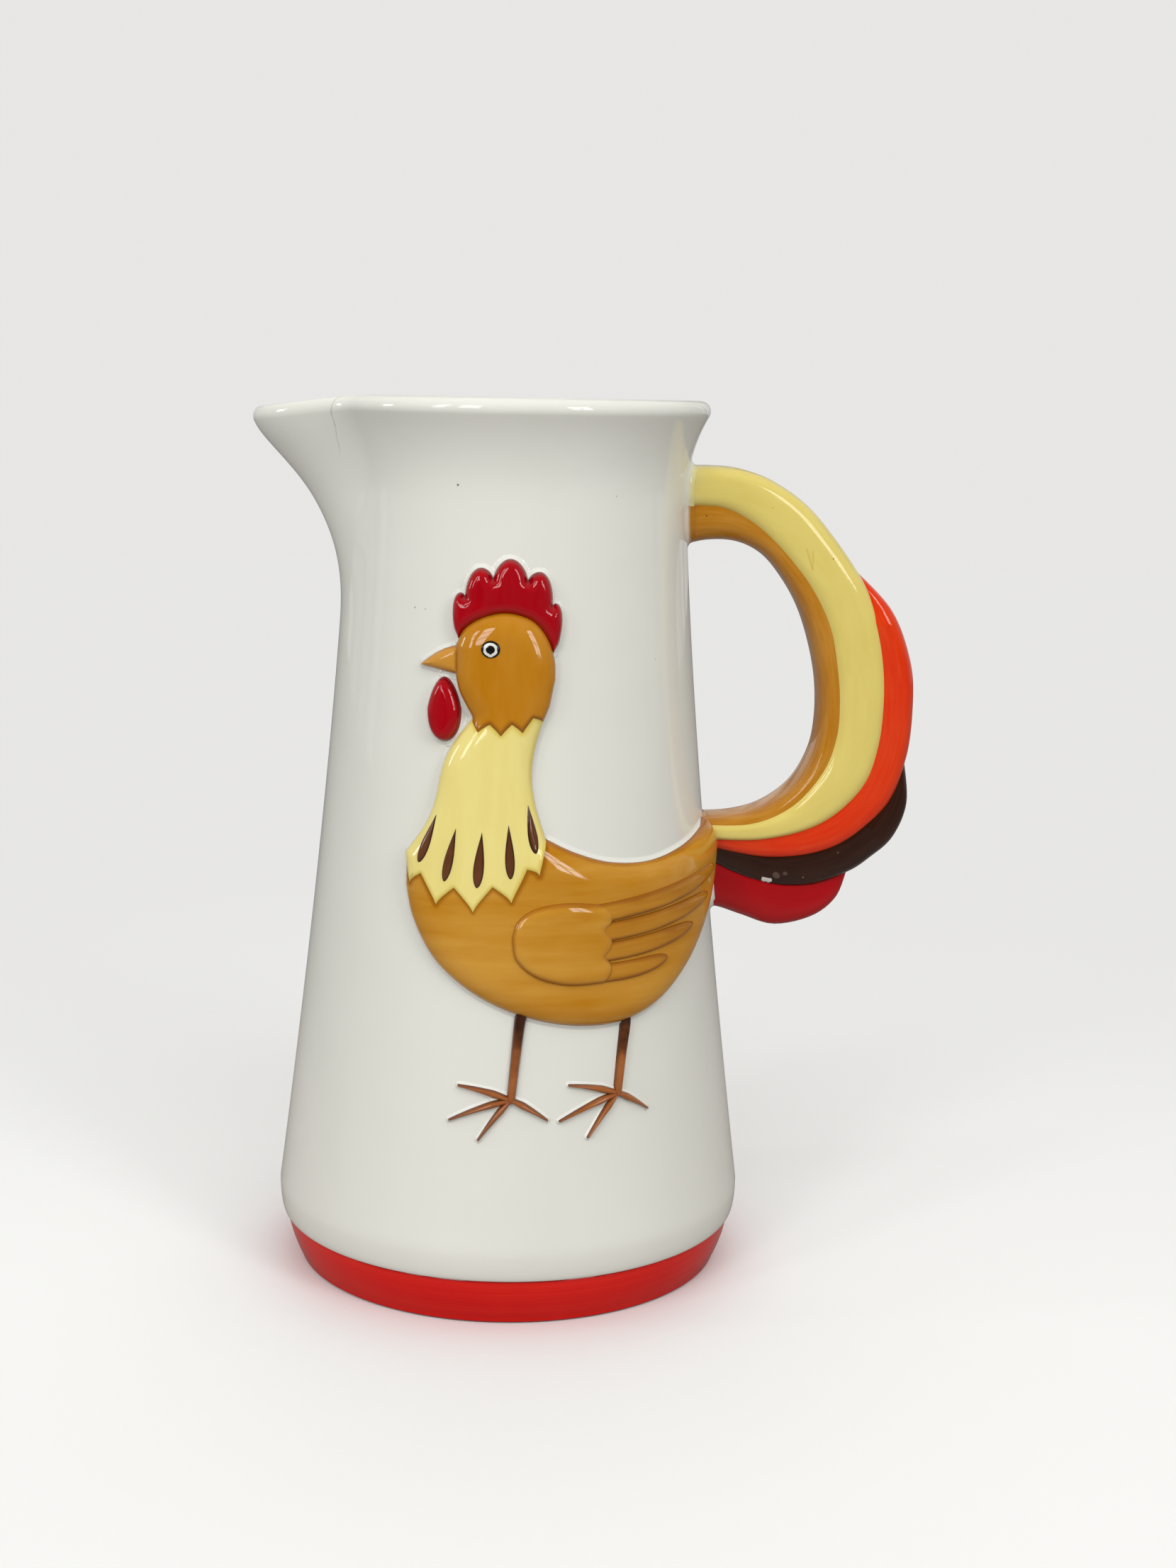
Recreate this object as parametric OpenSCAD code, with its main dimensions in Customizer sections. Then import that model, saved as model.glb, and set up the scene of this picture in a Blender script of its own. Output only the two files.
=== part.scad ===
// Cast ceramic pitcher with a round tapered body, a pouring spout, a rooster in relief on
// both sides and a handle built up from five tail feathers.
// Millimetres. +Z is up, the spout points to -X and the handle to +X.
// The origin is the centre of the foot, on the surface that the pitcher stands on.

/* [Body] */
// Height from the table to the top of the rim
vessel_h = 216; // [208:1:226]
// Outer radius of the white body where it is widest, just above the foot band
belly_r = 58.6; // [57:0.1:61]
// Height at which the white body is widest
belly_z = 19; // [17:0.5:22]
// Outer radius of the narrow neck, under the flare of the rim
neck_r = 41.6; // [40:0.1:43]
// How far the narrow neck lies under the top of the rim
neck_depth = 23; // [21:1:27]
// Outer radius of the rim
lip_r = 46.9; // [45.5:0.1:49]
// Radius of the rounded bead that finishes the rim
lip_bead_r = 2.5; // [2.2:0.1:2.8]
// Thickness of the cast wall
wall_t = 4.2; // [3.4:0.1:4.8]

/* [Foot] */
// Height of the red foot band
band_h = 12; // [10:0.5:13.5]
// How far the top of the foot band lies inside the widest part of the body
band_inset = 1.8; // [1.4:0.1:3]
// How far the foot band draws in towards the table
band_taper = 3.3; // [2:0.1:4.5]
// Radius of the rounded lower corner of the foot band
foot_round_r = 0.8; // [0.4:0.1:1.2]
// Radial thickness of the foot ring where it stands on the table
foot_ring_w = 3.2; // [2.6:0.1:4]
// How far the white body overhangs the top of the band
body_overhang = 0.7; // [0.5:0.1:1.2]
// Depth of the recess under the pitcher
foot_recess = 2.5; // [1.5:0.1:3.5]
// Thickness of the pitcher's floor
floor_t = 5.5; // [4.5:0.5:7]
// Radius of the fillet between the floor and the wall inside
floor_fillet_r = 20; // [18:1:26]

/* [Spout] */
// How far the tip of the spout stands out past the rim
spout_reach = 17.4; // [14:0.2:20]
// How far under the rim the spout starts to leave the wall
spout_root_depth = 56; // [50:1:62]
// Half of the angle that the spout takes up, seen from above
spout_angle = 34; // [30:1:40]
// How far the rim drops at the tip of the spout
spout_dip = 3; // [1:0.5:4]

/* [Handle] */
// How far the outermost feather stands off the wall
handle_reach = 55; // [50:1:60]
// Height of the lowest edge of the lowest feather
handle_low_z = 85; // [82:1:88]
// How far the top edge of the handle lies under the top of the rim
handle_top_depth = 15.5; // [13:0.5:19]
// Thickness of the ochre inner strand, across the handle
inner_strand_t = 16.5; // [14:0.5:18]
// Thickness of the yellow main feather, across the handle
yellow_feather_t = 19; // [17:0.5:21]
// Thickness of the orange feather, across the handle
orange_feather_t = 16.5; // [14:0.5:18]
// Thickness of the brown feather, across the handle
brown_feather_t = 14.5; // [12:0.5:16]
// Thickness of the red feather, across the handle
red_feather_t = 12.5; // [10:0.5:14]
// Width of the blunt tip at which a feather runs out
feather_tip_w = 0.8; // [0.5:0.1:1.2]

/* [Rooster] */
// How far the crown of the rooster's head lies under the top of the rim
crown_depth = 48; // [44:1:56]
// Distance round the wall from the middle of the side to the rooster's breast
bird_left = 28; // [25:0.5:31]
// Height of the level that the rooster stands on
bird_z = 52; // [48:0.5:54]
// Rise of the body over the wall
body_rise = 3.6; // [2.5:0.1:4.5]
// Rise of the shoulder of the wing over the body
shoulder_rise = 1.1; // [0.7:0.1:1.6]
// Rise of the wing's long feathers over the body
quill_rise = 0.8; // [0.5:0.1:1.2]
// Depth of the pointed tips along the hem of the neck
hem_depth = 5.2; // [4:0.2:6]
// Rise of the neck over the wall
neck_rise = 3.4; // [2.5:0.1:4.5]
// Rise of a fleck over the neck
fleck_rise = 0.4; // [0.3:0.1:0.7]
// Rise of the head over the wall
head_rise = 3.4; // [2.5:0.1:4.5]
// Rise of the beak over the wall
beak_rise = 2.2; // [1.5:0.1:3]
// Length of the beak
beak_l = 8.5; // [7:0.5:10]
// Rise of the comb over the wall
comb_rise = 3; // [2:0.1:4]
// Height of the comb's middle lobe above the crown of the head
comb_h = 12; // [10:0.5:14]
// Rise of the wattle over the wall
wattle_rise = 3; // [2:0.1:4]
// Length of the wattle
wattle_l = 15; // [12:0.5:16]
// Width of the wattle
wattle_w = 8.4; // [7:0.2:9]
// Rise of the legs and toes over the wall
leg_rise = 1.6; // [1:0.1:2.4]
// Width of a leg where it leaves the body
thigh_w = 3.6; // [2.8:0.1:4.6]
// Width of a leg at the ankle
ankle_w = 2; // [1.6:0.1:2.6]
// Width of a toe where it leaves the foot
toe_w = 1.8; // [1.4:0.1:2.2]
// Width of the tip of a toe
claw_w = 0.6; // [0.4:0.1:1]
// Length of the longest toe
toe_l = 13; // [11:0.5:14]
// Radius of the eye
eye_r = 2; // [1.6:0.1:2.4]
// How far the eye stands out of the head
eye_rise = 0.6; // [0.4:0.1:0.9]

/* [Joints] */
// Thickness of the slip between a face and the piece that is luted to it
slip_gap = 0.15; // [0.12:0.01:0.2]
// Width of the groove between two neighbouring pieces of the relief
groove_w = 0.3; // [0.25:0.01:0.4]
// Clearance between the foot band and the body's floor inside it
band_gap = 0.1; // [0.05:0.01:0.2]

/* [Hidden] */

// Heights and radii that follow from the ones above
neck_z = vessel_h - neck_depth;
spout_root_z = vessel_h - spout_root_depth;
handle_top_z = vessel_h - handle_top_depth;
bird_h = vessel_h - crown_depth - bird_z;
band_r = belly_r - band_inset;
foot_r = band_r - band_taper;

// Smooth curve through hand-chosen points, and small helpers on lists
function along(p, t) =
    let (n = len(p) - 1, i = min(floor(t), n - 1), f = t - i,
        a = p[max(i - 1, 0)], b = p[i], c = p[i + 1], d = p[min(i + 2, n)])
    0.5 * ((2 * b) + (c - a) * f + (2 * a - 5 * b + 4 * c - d) * f * f
        + (3 * b - a - 3 * c + d) * f * f * f);
function curve(p, steps) = [for (i = [0:steps]) along(p, i * (len(p) - 1) / steps)];
function part_of(list, first, last) = [for (i = [first:last]) list[i]];
function last_of(list) = len(list) - 1;
function reversed(list) = [for (i = [len(list) - 1:-1:0]) list[i]];
function mix(a, b, t) = a + (b - a) * t;
function clamped(t) = min(max(t, 0), 1);

// Closed solid from rings of points. A ring runs along the front in a number of steps, and
// back along the rear in the rest. The two end rings are closed by a strip from front to rear.
function strip_faces(start, steps, m) =
    let (rear_steps = m - steps - 2,
        rear = [for (j = [0:steps]) start + m - 1 - round(j * rear_steps / steps)])
    [for (j = [0:steps - 1])
        each concat([[start + j, start + j + 1, rear[j + 1]]],
            rear[j] == rear[j + 1] ? [] : [[start + j, rear[j + 1], rear[j]]])];
module lofted(rings, front_steps) {
    n = len(rings);
    m = len(rings[0]);
    points = [for (ring = rings) each ring];
    sides = [for (i = [0:n - 2], j = [0:m - 1])
        let (k = (j + 1) % m)
        each [
            [i * m + j, i * m + k, (i + 1) * m + k],
            [i * m + j, (i + 1) * m + k, (i + 1) * m + j]
        ]];
    first = [for (f = strip_faces(0, front_steps, m)) reversed(f)];
    last = strip_faces((n - 1) * m, front_steps, m);
    polyhedron(points, concat(sides, first, last), convexity = 8);
}

// Wall: a taper up to the neck, and above it a flare that runs into the bead of the rim
round_steps = 96;               // facets of a full circle in the round parts
taper_power = 1.33;             // how quickly the wall straightens towards the neck
flare_power = 2.2;              // how late the rim flares
bead_tilt = 30;                 // angle at which the flare meets the bead
bead_centre = [lip_r - lip_bead_r, vessel_h - lip_bead_r];
flare_end = bead_centre + lip_bead_r * [cos(bead_tilt), -sin(bead_tilt)];
function wall_r(z) = belly_r
    - (belly_r - neck_r) * (1 - pow(1 - clamped((z - belly_z) / (neck_z - belly_z)), taper_power))
    + (flare_end[0] - neck_r) * pow(max((z - neck_z) / (flare_end[1] - neck_z), 0), flare_power);
function stations(low_z, high_z, steps) = [for (i = [1:steps])
    let (z = mix(low_z, high_z, i / steps)) [wall_r(z), z]];
function inner(list) = [for (p = reversed(list)) [p[0] - wall_t, p[1]]];
taper = stations(belly_z, spout_root_z, 20);
above_root = stations(spout_root_z, neck_z, 7);
flare = stations(neck_z, flare_end[1], 6);
bead_steps = 9;
bead = [for (i = [1:bead_steps])
    let (a = 180 * i / bead_steps - bead_tilt) bead_centre + lip_bead_r * [cos(a), sin(a)]];

// Foot: the white body rounds in over the band, whose ring stands on the table
round_in_steps = 6;
spigot_r = foot_r - foot_ring_w;
edge_r = band_r + body_overhang;
lower_edge = [for (i = [0:round_in_steps])
    let (a = 90 * i / round_in_steps)
    [edge_r + (belly_r - edge_r) * sin(a), belly_z - (belly_z - band_h) * cos(a)]];
band_power = 1.7;               // how full the band's side is
floor_z = foot_recess + floor_t;
fillet_top_z = floor_z + floor_fillet_r;
fillet_centre = [wall_r(fillet_top_z) - wall_t - floor_fillet_r, fillet_top_z];
floor_fillet = [for (i = [0:round_in_steps])
    let (a = -90 * i / round_in_steps) fillet_centre + floor_fillet_r * [cos(a), sin(a)]];
inner_taper = [for (p = inner(taper)) if (p[1] > fillet_top_z + wall_t) p];
wall_outline = concat(
    [[0, foot_recess], [spigot_r, foot_recess], [spigot_r, band_h]],
    lower_edge, taper, above_root, flare, bead,
    inner(flare), inner(above_root), inner_taper, floor_fillet, [[0, floor_z]]);
// Solid outer form of the wall, with its slip, for what is luted to the wall to be cut by
outer_form = concat([[0, band_h]],
    [for (p = concat(lower_edge, taper, above_root, flare)) [p[0] + slip_gap, p[1]]],
    [[0, flare_end[1]]]);

// Spout: the wall's own section, drawn out most along the middle of the spout
spout_power = 2.5;              // how late the spout leaves the wall
spout_round_power = 1.6;        // how soon it straightens under the rim
spout_width_power = 2.3;        // how pointed the spout is, seen from above
spout_turns = 22;               // steps across the spout
bead_top_step = (90 + bead_tilt) / 180 * bead_steps;
bead_bottom_z = bead_centre[1] - lip_bead_r;
function spout_share(z) =
    let (t = clamped((z - spout_root_z) / (bead_bottom_z - spout_root_z)))
    1 - pow(1 - pow(t, spout_power), spout_round_power);
function spout_point(p, angle) =
    let (across = pow(max(cos(90 * angle / spout_angle), 0), spout_width_power),
        share = spout_share(p[1]) * across,
        r = p[0] + spout_reach * share)
    [-r * cos(angle), r * sin(angle), p[1] - spout_dip * share];
root_station = [wall_r(spout_root_z), spout_root_z];
spout_outside = concat([root_station], above_root, flare, part_of(bead, 0, bead_top_step - 1));
spout_inside = concat(part_of(bead, bead_top_step, bead_steps - 1),
    inner(flare), inner(above_root), inner([root_station]));

module body_shell() {
    cut_l = lip_r + spout_reach;
    color("ivory")
    difference() {
        rotate_extrude($fn = round_steps)
            polygon(wall_outline);
        translate([0, 0, spout_root_z])
            linear_extrude(vessel_h)
                polygon([
                    [0, 0],
                    [-cut_l, -cut_l * tan(spout_angle)],
                    [-cut_l, cut_l * tan(spout_angle)]
                ]);
    }
}

module pouring_spout() {
    color("ivory")
    lofted([for (i = [0:spout_turns])
        let (a = spout_angle * (2 * i / spout_turns - 1))
        [for (p = concat(spout_outside, spout_inside)) spout_point(p, a)]],
        len(spout_outside) - 1);
}

module foot_band() {
    ring_r = spigot_r + band_gap;
    corner = [for (i = [0:round_in_steps])
        let (a = 90 * i / round_in_steps - 90)
        [foot_r - foot_round_r, foot_round_r] + foot_round_r * [cos(a), sin(a)]];
    bulge = [for (i = [1:round_in_steps])
        let (z = mix(foot_round_r, band_h, i / round_in_steps))
        [band_r - (band_r - foot_r) * pow(1 - i / round_in_steps, band_power), z]];
    color("red")
    rotate_extrude($fn = round_steps)
        polygon(concat([[ring_r, 0]], corner, bulge, [[ring_r, band_h]]));
}

// Handle: edges between neighbouring feathers, as shares of the reach off the wall and of the
// handle's height, from the top root round to the lower root
gap_edge_shares = [
    [-0.06, 0.825], [0.08, 0.842], [0.22, 0.84], [0.34, 0.812], [0.43, 0.76], [0.5, 0.695],
    [0.545, 0.615], [0.565, 0.535], [0.555, 0.455], [0.515, 0.385], [0.42, 0.316],
    [0.28, 0.27], [0.13, 0.25], [-0.06, 0.245]
];
strand_edge_shares = [
    [-0.06, 0.912], [0.06, 0.916], [0.17, 0.908], [0.3, 0.872], [0.42, 0.815], [0.53, 0.745],
    [0.605, 0.665], [0.63, 0.585], [0.635, 0.5], [0.61, 0.42], [0.535, 0.345],
    [0.39, 0.272], [0.2, 0.232], [-0.06, 0.228]
];
yellow_edge_shares = [
    [-0.06, 0.998], [0.1, 1], [0.24, 0.993], [0.4, 0.965], [0.57, 0.905], [0.76, 0.782],
    [0.825, 0.7], [0.86, 0.61], [0.86, 0.51], [0.82, 0.4], [0.73, 0.31],
    [0.53, 0.235], [0.25, 0.202], [-0.06, 0.206]
];
orange_edge_shares = [
    [0.76, 0.782], [0.915, 0.7], [0.99, 0.6], [1, 0.505], [0.95, 0.37],
    [0.81, 0.257], [0.58, 0.178], [0.28, 0.157], [-0.06, 0.19]
];
brown_edge_shares = [
    [0.95, 0.37], [0.95, 0.275], [0.875, 0.2], [0.76, 0.153], [0.65, 0.12],
    [0.48, 0.096], [0.3, 0.094], [0.13, 0.118], [-0.06, 0.17]
];
red_edge_shares = [
    [0.65, 0.12], [0.59, 0.06], [0.47, 0.018], [0.29, 0], [0.14, 0.022], [0.03, 0.04],
    [-0.06, 0.042]
];
edge_steps = 52;                // steps along the longest feather edges
// Step of each edge at which the next feather starts, at one of the edge's own points
orange_start_point = 5;
brown_start_point = 4;
red_start_point = 4;
orange_start = orange_start_point * edge_steps / last_of(yellow_edge_shares);
orange_steps = edge_steps - orange_start;
brown_start = brown_start_point * orange_steps / last_of(orange_edge_shares);
brown_steps = orange_steps - brown_start;
red_start = red_start_point * brown_steps / last_of(brown_edge_shares);
red_steps = brown_steps - red_start;
function off_wall(shares, steps) = [for (s = curve(shares, steps))
    let (z = mix(handle_low_z, handle_top_z, s[1])) [wall_r(z) + s[0] * handle_reach, z]];
gap_edge = off_wall(gap_edge_shares, edge_steps);
strand_edge = off_wall(strand_edge_shares, edge_steps);
yellow_edge = off_wall(yellow_edge_shares, edge_steps);
orange_edge = off_wall(orange_edge_shares, orange_steps);
brown_edge = off_wall(brown_edge_shares, brown_steps);
red_edge = off_wall(red_edge_shares, red_steps);

// Section of a feather: place from its inner to its outer edge, and share of its thickness
feather_section_shares = [[0, 0.7], [0.14, 0.93], [0.5, 1], [0.86, 0.93], [1, 0.7]];
swell_steps = 5;                // steps over which a feather swells from its upper tip
tip_share = 0.55;               // thickness of a feather's upper tip, of its full thickness
function feather_ring(a, b, half_t) =
    let (front = [for (s = feather_section_shares)
        let (p = mix(a, b, s[0])) [p[0], -half_t * s[1], p[1]]])
    concat(front, [for (p = reversed(front)) [p[0], -p[1], p[2]]]);
// Outer edge held about a tip's width off the inner one, square to that
function held_off(inside, outside, i) =
    let (run = inside[min(i + 1, len(inside) - 1)] - inside[max(i - 1, 0)],
        short = max(feather_tip_w - norm(outside[i] - inside[i]), 0))
    outside[i] + short * [-run[1], run[0]] / norm(run);

module feather(inside, outside, t, tipped) {
    difference() {
        lofted([for (i = [0:len(inside) - 1])
            let (swell = tipped ? mix(tip_share, 1, clamped(i / swell_steps)) : 1)
            feather_ring(inside[i], held_off(inside, outside, i), swell * t / 2)],
            len(feather_section_shares) - 1);
        rotate_extrude($fn = round_steps)
            polygon(outer_form);
    }
}

module handle_inner_strand() {
    color("peru")
    feather(gap_edge, strand_edge, inner_strand_t, false);
}

module yellow_feather() {
    color("khaki")
    feather(strand_edge, yellow_edge, yellow_feather_t, false);
}

module orange_feather() {
    color("orangered")
    feather(part_of(yellow_edge, orange_start, edge_steps), orange_edge, orange_feather_t, true);
}

module brown_feather() {
    color("saddlebrown")
    feather(part_of(orange_edge, brown_start, orange_steps), brown_edge, brown_feather_t, true);
}

module red_feather() {
    color("crimson")
    feather(part_of(brown_edge, red_start, brown_steps), red_edge, red_feather_t, true);
}

// Relief: a place is [distance round the wall from the middle of the side, height]. The
// rooster's outlines are drawn as shares of its length and height. It is as long as the wall
// is free, from the breast to the flank of the handle.
tail_share = 0.28;              // height at which body and handle meet, on the handle
handle_gap = 0.6;               // gap between the rooster's body and the handle's flank
tail_z = mix(handle_low_z, handle_top_z, tail_share);
tail_angle = acos((yellow_feather_t / 2 + handle_gap) / wall_r(tail_z));
bird_l = bird_left + wall_r(tail_z) * tail_angle * PI / 180;
function bird_places(shares) = [for (s = shares)
    [s[0] * bird_l - bird_left, bird_z + s[1] * bird_h]];
function round_wall(p, h) =
    let (r = wall_r(p[1]) + h, a = p[0] / wall_r(p[1]) * 180 / PI)
    [r * sin(a), -r * cos(a), p[1]];

// A patch of relief is [lower edge, upper edge, rise, lower teeth, upper teeth, sway]: edges as
// places at equal steps, teeth as how far each place is drawn down, sway as how far each row
// leaves the straight line, as [bow, S-bend]
edge_share = 0.3;               // height of a relief's edge, of its rise
side_power = 4;                 // how square the relief's section is
end_power = 6;                  // how square it is along its length
foot_power = 2;                 // how far the teeth along a lower edge draw the rest down
head_power = 4;                 // how far those along an upper edge do
function row_of(list, x) =
    let (i = min(floor(x), len(list) - 2)) mix(list[i], list[i + 1], x - i);
function last_row(patch) = last_of(patch[0]);
function place_in(patch, x, s) =
    let (sway = row_of(patch[5], x))
    mix(row_of(patch[0], x), row_of(patch[1], x), s)
        + [sway[0] * sin(180 * s) + sway[1] * sin(360 * s),
            -row_of(patch[3], x) * pow(1 - s, foot_power)
                - row_of(patch[4], x) * pow(s, head_power)];
function pillow(t, power) = sqrt(1 - pow(abs(2 * clamped(t) - 1), power));
function crown(x_share, s) =
    edge_share + (1 - edge_share) * pillow(s, side_power) * pillow(x_share, end_power);
function rise_in(patch, x, s) = patch[2] * crown(x / last_row(patch), s);
function level(list) = [for (p = list) 0];
function straight(list) = [for (p = list) [0, 0]];
function plain_patch(lower, upper, rise) =
    [lower, upper, rise, level(lower), level(upper), straight(lower)];
// Tapered stroke along a path, with a width for each place on it
function stroke(path, widths, rise) =
    let (n = len(path) - 1,
        normals = [for (i = [0:n])
            let (d = path[min(i + 1, n)] - path[max(i - 1, 0)]) [-d[1], d[0]] / norm(d)])
    plain_patch([for (i = [0:n]) path[i] - normals[i] * widths[i] / 2],
        [for (i = [0:n]) path[i] + normals[i] * widths[i] / 2], rise);
// Places across a patch, closer together towards its edges
function across(steps) = [for (j = [0:steps]) (1 - cos(180 * j / steps)) / 2];
function back_across(steps) = [for (k = [steps:-1:0]) k / steps];

// Both sides of the pitcher carry the same relief
module on_both_sides() {
    children();
    mirror([0, 1, 0])
        children();
}

// Patch luted to the wall, its back following the wall in a few steps
module wall_relief(patch, columns, back_steps) {
    lofted([for (x = [0:last_row(patch)])
        concat(
            [for (s = across(columns))
                round_wall(place_in(patch, x, s), slip_gap + rise_in(patch, x, s))],
            [for (s = back_across(back_steps))
                round_wall(place_in(patch, x, s), slip_gap)]
        )], columns);
}

// Patch luted on another one, with its edges as [row, share across] of the one under it. The
// one under it stands one slip off the wall, and this one stands two slips off that.
seat_slips = 3;
function seat_h(under, q) = seat_slips * slip_gap + rise_in(under, q[0], q[1]);
module upper_relief(under, patch, columns, back_steps) {
    lofted([for (x = [0:last_row(patch)])
        concat(
            [for (s = across(columns))
                let (q = place_in(patch, x, s))
                round_wall(place_in(under, q[0], q[1]), seat_h(under, q) + rise_in(patch, x, s))],
            [for (s = back_across(back_steps))
                let (q = place_in(patch, x, s))
                round_wall(place_in(under, q[0], q[1]), seat_h(under, q))]
        )], columns);
}

// Body and neck meet along a hem of pointed feather tips
hem_teeth = 5;
tooth_rows = 4;
hem_rows = hem_teeth * tooth_rows;
back_rows = 12;
belly_steps = 60;               // steps of the curve that the belly is read from
tooth_power = 0.8;              // how pointed a tooth is
function tooth(i, rows) = 1 - pow(abs(2 * (i % rows) / rows - 1), tooth_power);
hem_drops = [for (i = [0:hem_rows]) hem_depth * tooth(i, tooth_rows)];
hem_shares = [[0.011, 0.517], [0.087, 0.47], [0.197, 0.453], [0.306, 0.483], [0.371, 0.552]];
back_shares = [[0.371, 0.552], [0.448, 0.522], [0.546, 0.498], [0.666, 0.491], [0.797, 0.504],
    [0.906, 0.522], [1, 0.537]];
belly_shares = [[0.01, 0.45], [0.03, 0.385], [0.085, 0.31], [0.164, 0.255], [0.262, 0.213],
    [0.371, 0.185], [0.48, 0.172], [0.59, 0.175], [0.699, 0.203], [0.808, 0.259],
    [0.912, 0.332], [1, 0.405]];
function joined(a, b) = concat(a, part_of(b, 1, len(b) - 1));
hem = curve(bird_places(hem_shares), hem_rows);
topline = joined(hem, curve(bird_places(back_shares), back_rows));
belly_line = curve(bird_places(belly_shares), belly_steps);
underline = [for (p = topline) [p[0], lookup(p[0], belly_line)]];
body_patch = [underline, topline, body_rise,
    level(underline), concat(hem_drops, [for (i = [1:back_rows]) 0]), straight(underline)];
// Row and share across the body at a place on it
row_at = [for (i = [0:len(topline) - 1]) [topline[i][0], i]];
function on_body(p) =
    let (low = lookup(p[0], underline), high = lookup(p[0], topline))
    [lookup(p[0], row_at), (p[1] - low) / (high - low)];

// Head and neck meet along a hem of shallower tips, and the throat leads up to the beak
head_teeth = 4;
head_tooth_share = 0.5;         // depth of the head's tips, of the neck's
throat_rows = 4;
nape_bow = 3.6;                 // how far the nape is hollowed
throat_bend = 1.6;              // how far the throat is hollowed and the breast rounded
head_hem_shares = [[0.186, 0.789], [0.251, 0.78], [0.317, 0.789], [0.377, 0.815]];
throat_shares = [[0.144, 0.871], [0.155, 0.838], [0.186, 0.792]];
crown_shares = [[0.144, 0.934], [0.166, 0.967], [0.213, 0.991], [0.273, 1], [0.333, 0.985],
    [0.371, 0.948], [0.388, 0.905], [0.39, 0.868]];
head_hem = curve(bird_places(head_hem_shares), hem_rows);
head_drops = [for (i = [0:hem_rows])
    hem_depth * head_tooth_share * tooth(i, hem_rows / head_teeth)];
neck_sway = [for (i = [0:hem_rows])
    let (t = i / hem_rows) [-nape_bow * t, throat_bend * (1 - t)]];
neck_patch = [[for (p = hem) p + [0, groove_w]], head_hem, neck_rise, hem_drops, head_drops,
    neck_sway];
jaw = joined(curve(bird_places(throat_shares), throat_rows),
    [for (p = head_hem) p + [0, groove_w]]);
crown_line = curve(bird_places(crown_shares), hem_rows + throat_rows);
head_patch = [jaw, crown_line, head_rise,
    concat(level(part_of(jaw, 1, throat_rows)), head_drops), level(jaw), straight(jaw)];

module rooster_body() {
    color("goldenrod")
    on_both_sides()
        wall_relief(body_patch, 6, 1);
}

module rooster_neck() {
    color("khaki")
    on_both_sides()
        wall_relief(neck_patch, 6, 3);
}

module rooster_head() {
    color("goldenrod")
    on_both_sides()
        wall_relief(head_patch, 6, 2);
}

// Folded wing on the body: a rounded shoulder, and long feathers that end one behind the other
shoulder_low_shares = [[0.29, 0.35], [0.3, 0.315], [0.345, 0.282], [0.42, 0.264], [0.51, 0.264]];
shoulder_high_shares = [[0.29, 0.365], [0.305, 0.397], [0.35, 0.42], [0.425, 0.428], [0.51, 0.42]];
shoulder_rows = 8;
quill_tip_shares = [[0.93, 0.45], [0.88, 0.4], [0.8, 0.35], [0.7, 0.296]];
quill_rows = 6;
quill_round_power = 5;          // how blunt the tip of a long feather is
quill_end_share = 0.15;         // half width at which it ends, of its full half width
quill_sag_share = 0.25;         // how far it sags, of its half width

module wing_shoulder() {
    lower = curve(bird_places(shoulder_low_shares), shoulder_rows);
    upper = curve(bird_places(shoulder_high_shares), shoulder_rows);
    color("goldenrod")
    on_both_sides()
        upper_relief(body_patch, plain_patch([for (p = lower) on_body(p)],
            [for (p = upper) on_body(p)], shoulder_rise), 6, 3);
}

module wing_quills() {
    last = len(shoulder_low_shares) - 1;
    low = bird_places(shoulder_low_shares)[last] + [groove_w, 0];
    high = bird_places(shoulder_high_shares)[last] + [groove_w, 0];
    tips = bird_places(quill_tip_shares);
    n = len(tips);
    half_w = (high[1] - low[1]) / n / 2 - groove_w / 2;
    color("darkgoldenrod")
    on_both_sides()
        for (k = [0:n - 1]) {
            root = mix(high, low, (k + 0.5) / n);
            middle = [for (i = [0:quill_rows])
                let (t = i / quill_rows)
                mix(root, tips[k], t) - [0, half_w * quill_sag_share * sin(180 * t)]];
            half = [for (i = [0:quill_rows])
                half_w * max(sqrt(1 - pow(i / quill_rows, quill_round_power)), quill_end_share)];
            upper_relief(body_patch, plain_patch(
                [for (i = [0:quill_rows]) on_body(middle[i] - [0, half[i]])],
                [for (i = [0:quill_rows]) on_body(middle[i] + [0, half[i]])], quill_rise), 4, 1);
        }
}

// Slim fleck on each pointed tip of the neck
fleck_steps = 4;
fleck_low_share = 0.12;         // where a fleck starts, from the hem to the head
fleck_high_share = 0.4;         // where it ends
fleck_half_rows = 0.55;         // half a fleck's width, in rows of the neck
fleck_power = 0.8;              // how full a fleck is
fleck_end_share = 0.3;          // width of its ends, of its full width
module neck_flecks() {
    color("saddlebrown")
    on_both_sides()
        for (k = [0:hem_teeth - 1]) {
            mid = (k + 0.5) * tooth_rows;
            half = [for (i = [0:fleck_steps])
                fleck_half_rows
                    * max(pow(sin(180 * i / fleck_steps), fleck_power), fleck_end_share)];
            s = [for (i = [0:fleck_steps]) mix(fleck_low_share, fleck_high_share, i / fleck_steps)];
            upper_relief(neck_patch, plain_patch(
                [for (i = [0:fleck_steps]) [mid + half[i], s[i]]],
                [for (i = [0:fleck_steps]) [mid - half[i], s[i]]], fleck_rise), 2, 1);
        }
}

// Eye: a round bead on the head
eye_along_share = 0.35;         // how far along the head's rows the eye lies
eye_up_share = 0.68;            // how far up the head it lies
eye_steps = 5;
module rooster_eye() {
    seat = [eye_along_share * last_row(head_patch), eye_up_share];
    p = place_in(head_patch, seat[0], seat[1]);
    bead = [for (i = [0:eye_steps])
        let (a = 90 * i / eye_steps) [eye_r * cos(a), eye_rise * sin(a)]];
    color("black")
    on_both_sides()
        translate(round_wall(p, seat_h(head_patch, seat)))
            rotate([90, 0, p[0] / wall_r(p[1]) * 180 / PI])
                rotate_extrude($fn = round_steps / 2)
                    polygon(concat([[0, 0]], bead));
}

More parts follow.
